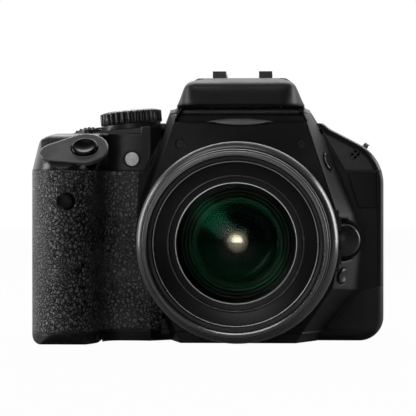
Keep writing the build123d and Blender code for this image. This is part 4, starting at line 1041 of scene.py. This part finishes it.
# %% [markdown]
# The front has two small round windows: the focus-assist lamp, a frosted dome with fine ridges, and
# the remote sensor in the grip, a dark smooth one. The frame holds both in one node, so its vertices
# are split at the middle, and each side's box gives a window's place and radius.

# %% Window places
def window_spots():
    """The middle of the front, and the radius, of each of the frame's two windows."""
    corners = [vertex.co for vertex in NODES["front_windows"].data.vertices]
    low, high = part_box("front_windows")
    split_x = (low.x + high.x) / 2
    for side in (lambda x: x < split_x, lambda x: x >= split_x):
        mine = [co for co in corners if side(co.x)]
        lows = [min(co[k] for co in mine) for k in range(3)]
        highs = [max(co[k] for co in mine) for k in range(3)]
        spot = Vector(((lows[0] + highs[0]) / 2, lows[1], (lows[2] + highs[2]) / 2))
        yield spot, (highs[0] - lows[0]) / 2 / MM


(sensor_spot, sensor_radius), (lamp_spot, lamp_radius) = window_spots()
print("window radii in millimetres:", round(sensor_radius, 2), round(lamp_radius, 2))

# %% [markdown]
# Both windows are turned. The sensor's is a plain cap. The lamp's ridges are pairs of points in its
# section, because a bump on frosted glass would hardly show.

# %% Front windows
sensor_section = cap(sensor_radius - 0.1, 0.0, 9.0, 8)
sensor_section += [(sensor_radius, -0.9), (sensor_radius, -2.0), (0, -2.0)]
settle(stand(turned(sensor_section, 64), sensor_spot, FORWARD),
       "remote_sensor_window", "camera_body", ir_window, 60)
ridges = [(0, 0)]
for ridge in range(6):
    edge = lamp_radius * (ridge + 1) / 7
    ridges += [(edge - 0.05, -0.02 - 0.02 * ridge), (edge + 0.05, -0.16 - 0.02 * ridge)]
lamp_section = ridges + [(lamp_radius - 0.1, -0.25), (lamp_radius, -0.45), (lamp_radius, -2.0), (0, -2.0)]
settle(stand(turned(lamp_section, 64), lamp_spot, FORWARD),
       "assist_lamp_window", "camera_body", lamp_window, 40, ["front_windows"])

# %% [markdown]
# Between the hump's feet the facade ends in a soft lip that catches the light as a slim crescent, and
# its light grey finish paints that crescent as a highlight on the black. A bevel on the cover would
# round the whole edge alike. A spindle, partly sunk into the facade, is thick in the middle and runs
# out to points, as the lip does. A ray finds the facade's surface.

# %% Facade lip
low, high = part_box("flash_head")
lip_z = low.z - 5.6 * MM
start = Vector((0, -0.2, lip_z))
hit, spot, *_ = NODES["front_cover"].ray_cast(start, Vector((0, 1, 0)))
lip_half = (high.x - low.x) / MM * 0.28
lip_thick = 1.5
lip_steps = 16
sunk = Vector((0, 0.3 * MM, 0))
lip_section = [(0, -lip_half)]
for n in range(1, lip_steps):
    along = -lip_half + 2 * lip_half * n / lip_steps
    lip_section.append((lip_thick * (1 - (along / lip_half) ** 2) ** 0.8, along))
lip_section.append((0, lip_half))
settle(stand(turned(lip_section, 32), spot + sunk, (1, 0, 0)),
       "facade_lip", "camera_body", lip_painted_highlight, 60)
print("lip stands on the facade:", hit, [round(v, 4) for v in spot])

# %% [markdown]
# The flash lid is moulded with generous, soft corners. A bevel can't follow so many edges of
# different size, so a copy of the frame's lid is remeshed into an even skin of small faces, which a
# Smooth modifier can melt.

# %% Flash lid skin
lid = NODES["flash_head"].copy()
lid.data = lid.data.copy()
bpy.context.collection.objects.link(lid)
only(lid)
bpy.ops.object.mode_set(mode="EDIT")
bpy.ops.mesh.select_all(action="SELECT")
bpy.ops.mesh.remove_doubles(threshold=1e-6)
bpy.ops.object.mode_set(mode="OBJECT")
skin = lid.modifiers.new("skin", "REMESH")
skin.mode = "VOXEL"
skin.voxel_size = 0.45 * MM
bpy.ops.object.modifier_apply(modifier=skin.name)
print("lid skin:", len(lid.data.polygons), "faces")

# %% [markdown]
# Melting the whole lid would spoil its hinge and lift its underside off the camera. A vertex group
# holds the Smooth modifier to the outer front and top, and fades it out over a few millimetres.

# %% Flash lid
low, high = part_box("flash_head")
soft = lid.vertex_groups.new(name="soft")
melt_from = low.z + 1.0 * MM
melt_full = 2.0 * MM
hinge_front = high.y - 7 * MM
hinge_fade = 4 * MM
for vertex in lid.data.vertices:
    above = min(1.0, max(0.0, (vertex.co.z - melt_from) / melt_full))
    ahead = min(1.0, max(0.0, (hinge_front - vertex.co.y) / hinge_fade))
    soft.add([vertex.index], above * ahead, "REPLACE")
melt = lid.modifiers.new("melt", "SMOOTH")
melt.factor = 0.5
melt.iterations = 220
melt.vertex_group = soft.name
bpy.ops.object.modifier_apply(modifier=melt.name)
lid.vertex_groups.clear()
settle(lid, "flash_lid_soft", "flash_lid", lid_black, 50, ["flash_head"])

# %% [markdown]
# ## Domed caps on the front keys
# The lens-release and preview keys are black domes whose rims catch the side light as thin arcs. The
# frame's keys are plain, so each gets a turned cap that rides along with it. The release key's node
# also holds its locking pin, so its cap is placed from the node's +X side.

# %% Key caps
low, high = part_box("lens_release_button")
radius = (high.z - low.z) / 2 / MM + 0.03
release_spot = Vector((high.x - radius * MM, low.y, (low.z + high.z) / 2))
release_cap = cap(radius - 1.4, 0.55, 22.0, 6)
release_cap += [(radius - 0.9, 0.0), (radius - 0.3, -0.35), (radius, -0.9), (radius, -1.3), (0, -1.3)]
settle(stand(turned(release_cap, 96), release_spot, FORWARD),
       "lens_release_cap", "lens_lock", control_black, 60)
preview_spot, preview_way = seat_of("depth_preview_button", -Vector(JOINTS["preview_press"]["axis"]))
preview_cap = [(0, 0.05), (1.6, 0.0), (2.1, 0.22), (2.5, 0.18), (2.8, -0.1), (2.84, -0.6), (0, -0.6)]
settle(stand(turned(preview_cap, 64), preview_spot, preview_way),
       "preview_cap", "preview_key", control_black, 60)

# %% [markdown]
# ## The accessory shoe
# Under the shoe's rails lie two leaf springs that press a flash unit's foot onto the contacts. A
# Simple Deform modifier could bend them, but a strip that is subdivided and moved down in its middle
# has its shallow bow at once.

# %% Shoe springs
low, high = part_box("hot_shoe")
floor_z = high.z - 3.4 * MM
middle_y = (low.y + high.y) / 2
leaf_size = (2.6 * MM, (high.y - low.y) * 0.8, 0.25 * MM)
leaves = []
for side in (-1, 1):
    leaf = block(leaf_size, (side * 7.9 * MM, middle_y, floor_z + 0.75 * MM))
    bpy.ops.mesh.subdivide(number_cuts=5)
    pick(leaf, lambda co, _: abs(co.y) < 2.6 * MM, "VERT")
    bpy.ops.transform.translate(value=(0, 0, -0.45 * MM))
    bpy.ops.object.mode_set(mode="OBJECT")
    leaves.append(leaf)
settle(joined(leaves), "shoe_leaf_springs", "camera_body", shoe_steel, 60)

# %% [markdown]
# The shoe's floor carries five contacts, a large one in the middle and four small ones. They are
# low domes, so a turned section suits them better than a bevelled cylinder.

# %% Shoe contacts
contacts = []
for x, y, radius in ((0, 0, 1.5), (-3.1, -4.2, 0.9), (3.1, -4.2, 0.9), (-3.1, 3.4, 0.9), (3.1, 3.4, 0.9)):
    pin = turned([(0, 0.28), (radius * 0.7, 0.22), (radius, 0.05), (radius, -0.3), (0, -0.3)], 24)
    pin.location = (x * MM, middle_y + y * MM, floor_z)
    contacts.append(pin)
settle(joined(contacts), "shoe_contacts", "camera_body", brass, 40)

# %% [markdown]
# ## The eyecup and the marks on the back
# The eyecup is soft rubber: a rounded ring that is wider against the camera and hollowed towards
# the eye. A torus would be too round for it, so a box is bevelled to its outline, tapered, inset on
# both faces and bridged through. A last bevel makes it soft.

# %% Eyecup
low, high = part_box("eyecup")
size = high - low
middle = (low + high) / 2
wall = 3.6 * MM


def near_middle(co):
    return math.hypot(co.x, co.z - middle.z) < 5 * MM


cup = block(size, middle)
bpy.ops.object.mode_set(mode="OBJECT")
bpy.ops.object.transform_apply(location=True)
bpy.ops.object.mode_set(mode="EDIT")
pick(cup, lambda _, run: abs(run.y) > 0.9, "EDGE")
bpy.ops.mesh.bevel(offset=size.z * 0.27, segments=8, affect="EDGES")
pick(cup, lambda _, facing: facing.y > 0.9)
bpy.ops.transform.resize(value=(0.915, 1, 0.9), center_override=middle)
pick(cup, lambda _, facing: abs(facing.y) > 0.9)
bpy.ops.mesh.inset(thickness=wall, use_individual=True)
pick(cup, lambda co, facing: facing.y > 0.9 and near_middle(co))
bpy.ops.transform.translate(value=(0, -1.4 * MM, 0))
pick(cup, lambda co, facing: abs(facing.y) > 0.9 and near_middle(co))
bpy.ops.mesh.bridge_edge_loops()
bpy.ops.object.mode_set(mode="OBJECT")
bevel_modifier(cup, 1.1 * MM, 4, 35)
settle(cup, "eyecup_soft", "camera_body", eye_rubber, 50, ["eyecup"])

# %% [markdown]
# The keys carry small plain marks: arrows around the cross keys, a triangle for play and a diamond
# for the live view. An image could draw them, but each is only a polygon of three or four sides, so
# it is extruded as thick as ink.

# %% Key marks
def mark(node_name, offset, size, turn, sides=3):
    """A small printed shape on a rear key, turned by an angle about the viewing direction."""
    low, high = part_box(node_name)
    clear_selection()
    bpy.ops.mesh.primitive_circle_add(vertices=sides, radius=size * MM, fill_type="NGON")
    shape = bpy.context.object
    bpy.ops.object.mode_set(mode="EDIT")
    bpy.ops.mesh.select_all(action="SELECT")
    bpy.ops.mesh.extrude_region_move(TRANSFORM_OT_translate={"value": (0, 0, 0.03 * MM)})
    bpy.ops.object.mode_set(mode="OBJECT")
    shape.rotation_euler = (0, 0, math.radians(turn))
    bpy.ops.object.transform_apply(rotation=True)
    middle = (low + high) / 2
    stand(shape, (middle.x + offset[0] * MM, high.y, middle.z + offset[1] * MM), (0, 1, 0))
    return shape


arrow_reach = 7.2
arrows = []
for turn in (0, math.pi / 2, math.pi, -math.pi / 2):
    offset = (math.sin(turn) * arrow_reach, math.cos(turn) * arrow_reach)
    arrows.append(mark("cross_keys", offset, 0.9, -math.degrees(turn)))
settle(joined(arrows), "cross_key_arrows", "cross_keys_key", white_mark, 0)
settle(mark("playback_button", (0, 0), 1.1, 90), "playback_mark", "playback_key", white_mark, 0)
settle(mark("live_view_button", (0, 0), 0.9, 0, 4), "live_view_mark", "live_view_key", white_mark, 0)

# %% [markdown]
# ## The studio
# The camera stands in a white room. A floor that is only painted white would look grey to the eye
# and would fill the black plastic with light from below. So this floor glows white for the eye
# alone, shows very little of that glow in reflections, and lights the camera as a darker one would.

# %% Floor
FLOOR_GREY = 0.3
FLOOR_REFLECTED = 0.06  # share of the glow that reflections see


def studio_white(name, strength):
    material = bpy.data.materials.new(name)
    material.use_nodes = True
    tree = material.node_tree
    matte = tree.nodes["Principled BSDF"]
    matte.inputs["Base Color"].default_value = (FLOOR_GREY, FLOOR_GREY, FLOOR_GREY, 1)
    matte.inputs["Roughness"].default_value = 0.9
    glow = node(tree, "ShaderNodeEmission", {"Strength": 1.0, "Color": (1, 1, 1, 1)})
    path = node(tree, "ShaderNodeLightPath")
    reflected = math_node(tree, "MULTIPLY", path.outputs["Is Glossy Ray"], FLOOR_REFLECTED)
    seen = math_node(tree, "MAXIMUM", path.outputs["Is Camera Ray"], reflected)
    mix = node(tree, "ShaderNodeMixShader")
    tree.links.new(math_node(tree, "MULTIPLY", seen, strength), mix.inputs[0])
    tree.links.new(matte.outputs[0], mix.inputs[1])
    tree.links.new(glow.outputs[0], mix.inputs[2])
    tree.links.new(mix.outputs[0], tree.nodes["Material Output"].inputs["Surface"])
    return material


clear_selection()
bpy.ops.mesh.primitive_plane_add(size=6.0, location=(0, 0, -0.0002))
floor = bpy.context.object
floor.name = "studio_floor"
floor.data.materials.append(studio_white("studio_floor_white", 0.98))
print("floor material:", floor.data.materials[0].name)

# %% [markdown]
# The world is white to the eye, and almost dark as a light, because the lamps should model the
# shapes. Reflections see it bright only behind the object, which draws bright edges round black
# plastic while its front stays dark.

# %% World
FILL = 0.04  # the world's strength as a light
world = bpy.data.worlds.new("studio")
bpy.context.scene.world = world
world.use_nodes = True
tree = world.node_tree
tree.nodes.clear()
place = node(tree, "ShaderNodeTexCoord")
split = node(tree, "ShaderNodeSeparateXYZ")
tree.links.new(place.outputs["Generated"], split.inputs[0])
behind = remap(tree, split.outputs["Y"], 0.05, 0.85)
path = node(tree, "ShaderNodeLightPath")
glossy = math_node(tree, "MULTIPLY", path.outputs["Is Glossy Ray"], behind)
unseen = math_node(tree, "MAXIMUM", glossy, FILL)
strength = math_node(tree, "MAXIMUM", path.outputs["Is Camera Ray"], unseen)
backdrop = node(tree, "ShaderNodeBackground", {"Color": (1, 1, 1, 1)})
tree.links.new(strength, backdrop.inputs["Strength"])
out = node(tree, "ShaderNodeOutputWorld")
tree.links.new(backdrop.outputs[0], out.inputs["Surface"])
print("world:", world.name)

# %% [markdown]
# Six soft lamps model the camera. One overhead towards the back and one on each side give black
# plastic its bright edges. A soft one high in front lifts the front's upward faces. The last two aim
# at the front glass: a rolled one lays a slanting glow across it, and a small weak one puts a spark
# in its middle. Hard lamps would show as sharp white dots on every rounded edge.

# %% Lamps
def soft_lamp(name, place, target, size, power, roll=0.0):
    clear_selection()
    bpy.ops.object.light_add(type="AREA", location=place)
    lamp = bpy.context.object
    lamp.name = name
    lamp.data.shape = "RECTANGLE"
    lamp.data.size, lamp.data.size_y = size
    lamp.data.energy = power
    facing = (Vector(target) - Vector(place)).to_track_quat("-Z", "Y")
    lamp.rotation_euler = (facing @ Quaternion((0, 0, 1), math.radians(roll))).to_euler()
    print("lamp:", name, power, "W")


soft_lamp("top_back", (0.0, 0.42, 0.60), (0, 0, 0.06), (1.0, 0.3), 4)
soft_lamp("left_side", (-0.72, 0.0, 0.22), (0, 0, 0.05), (0.25, 0.6), 3.4)
soft_lamp("right_side", (0.72, 0.1, 0.24), (0, 0, 0.05), (0.25, 0.6), 5)
soft_lamp("front_soft", (-0.15, -0.42, 0.80), (0, 0, 0.06), (0.7, 0.3), 1.8)
soft_lamp("front_high", (-0.255, -0.914, 0.262), (0, -0.08, 0.04), (0.45, 0.2), 0.6, -41)
soft_lamp("spark", (-0.02, -0.75, 0.075), (0, -0.08, 0.04), (0.16, 0.11), 0.14)

# %% [markdown]
# ## The camera
# A wide lens close up would swell the barrel, so the view camera stands well back with a long lens,
# almost straight ahead. It stands 16 mm to the +X side of the lens axis and 13 mm above it.

# %% Camera
clear_selection()
eye = Vector((16.3, -650.0, 50.6)) * MM
aim = Vector((-13.1, 0.0, 49.4)) * MM
bpy.ops.object.camera_add(location=eye)
view = bpy.context.object
view.name = "view_camera"
view.rotation_euler = (aim - eye).to_track_quat("-Z", "Y").to_euler()
view.data.sensor_width = 36.0
view.data.lens = 147.7
view.data.clip_start = 0.01
bpy.context.scene.camera = view
bpy.context.scene.view_settings.view_transform = "Standard"
print("camera stands", round((aim - eye).length, 3), "m away")
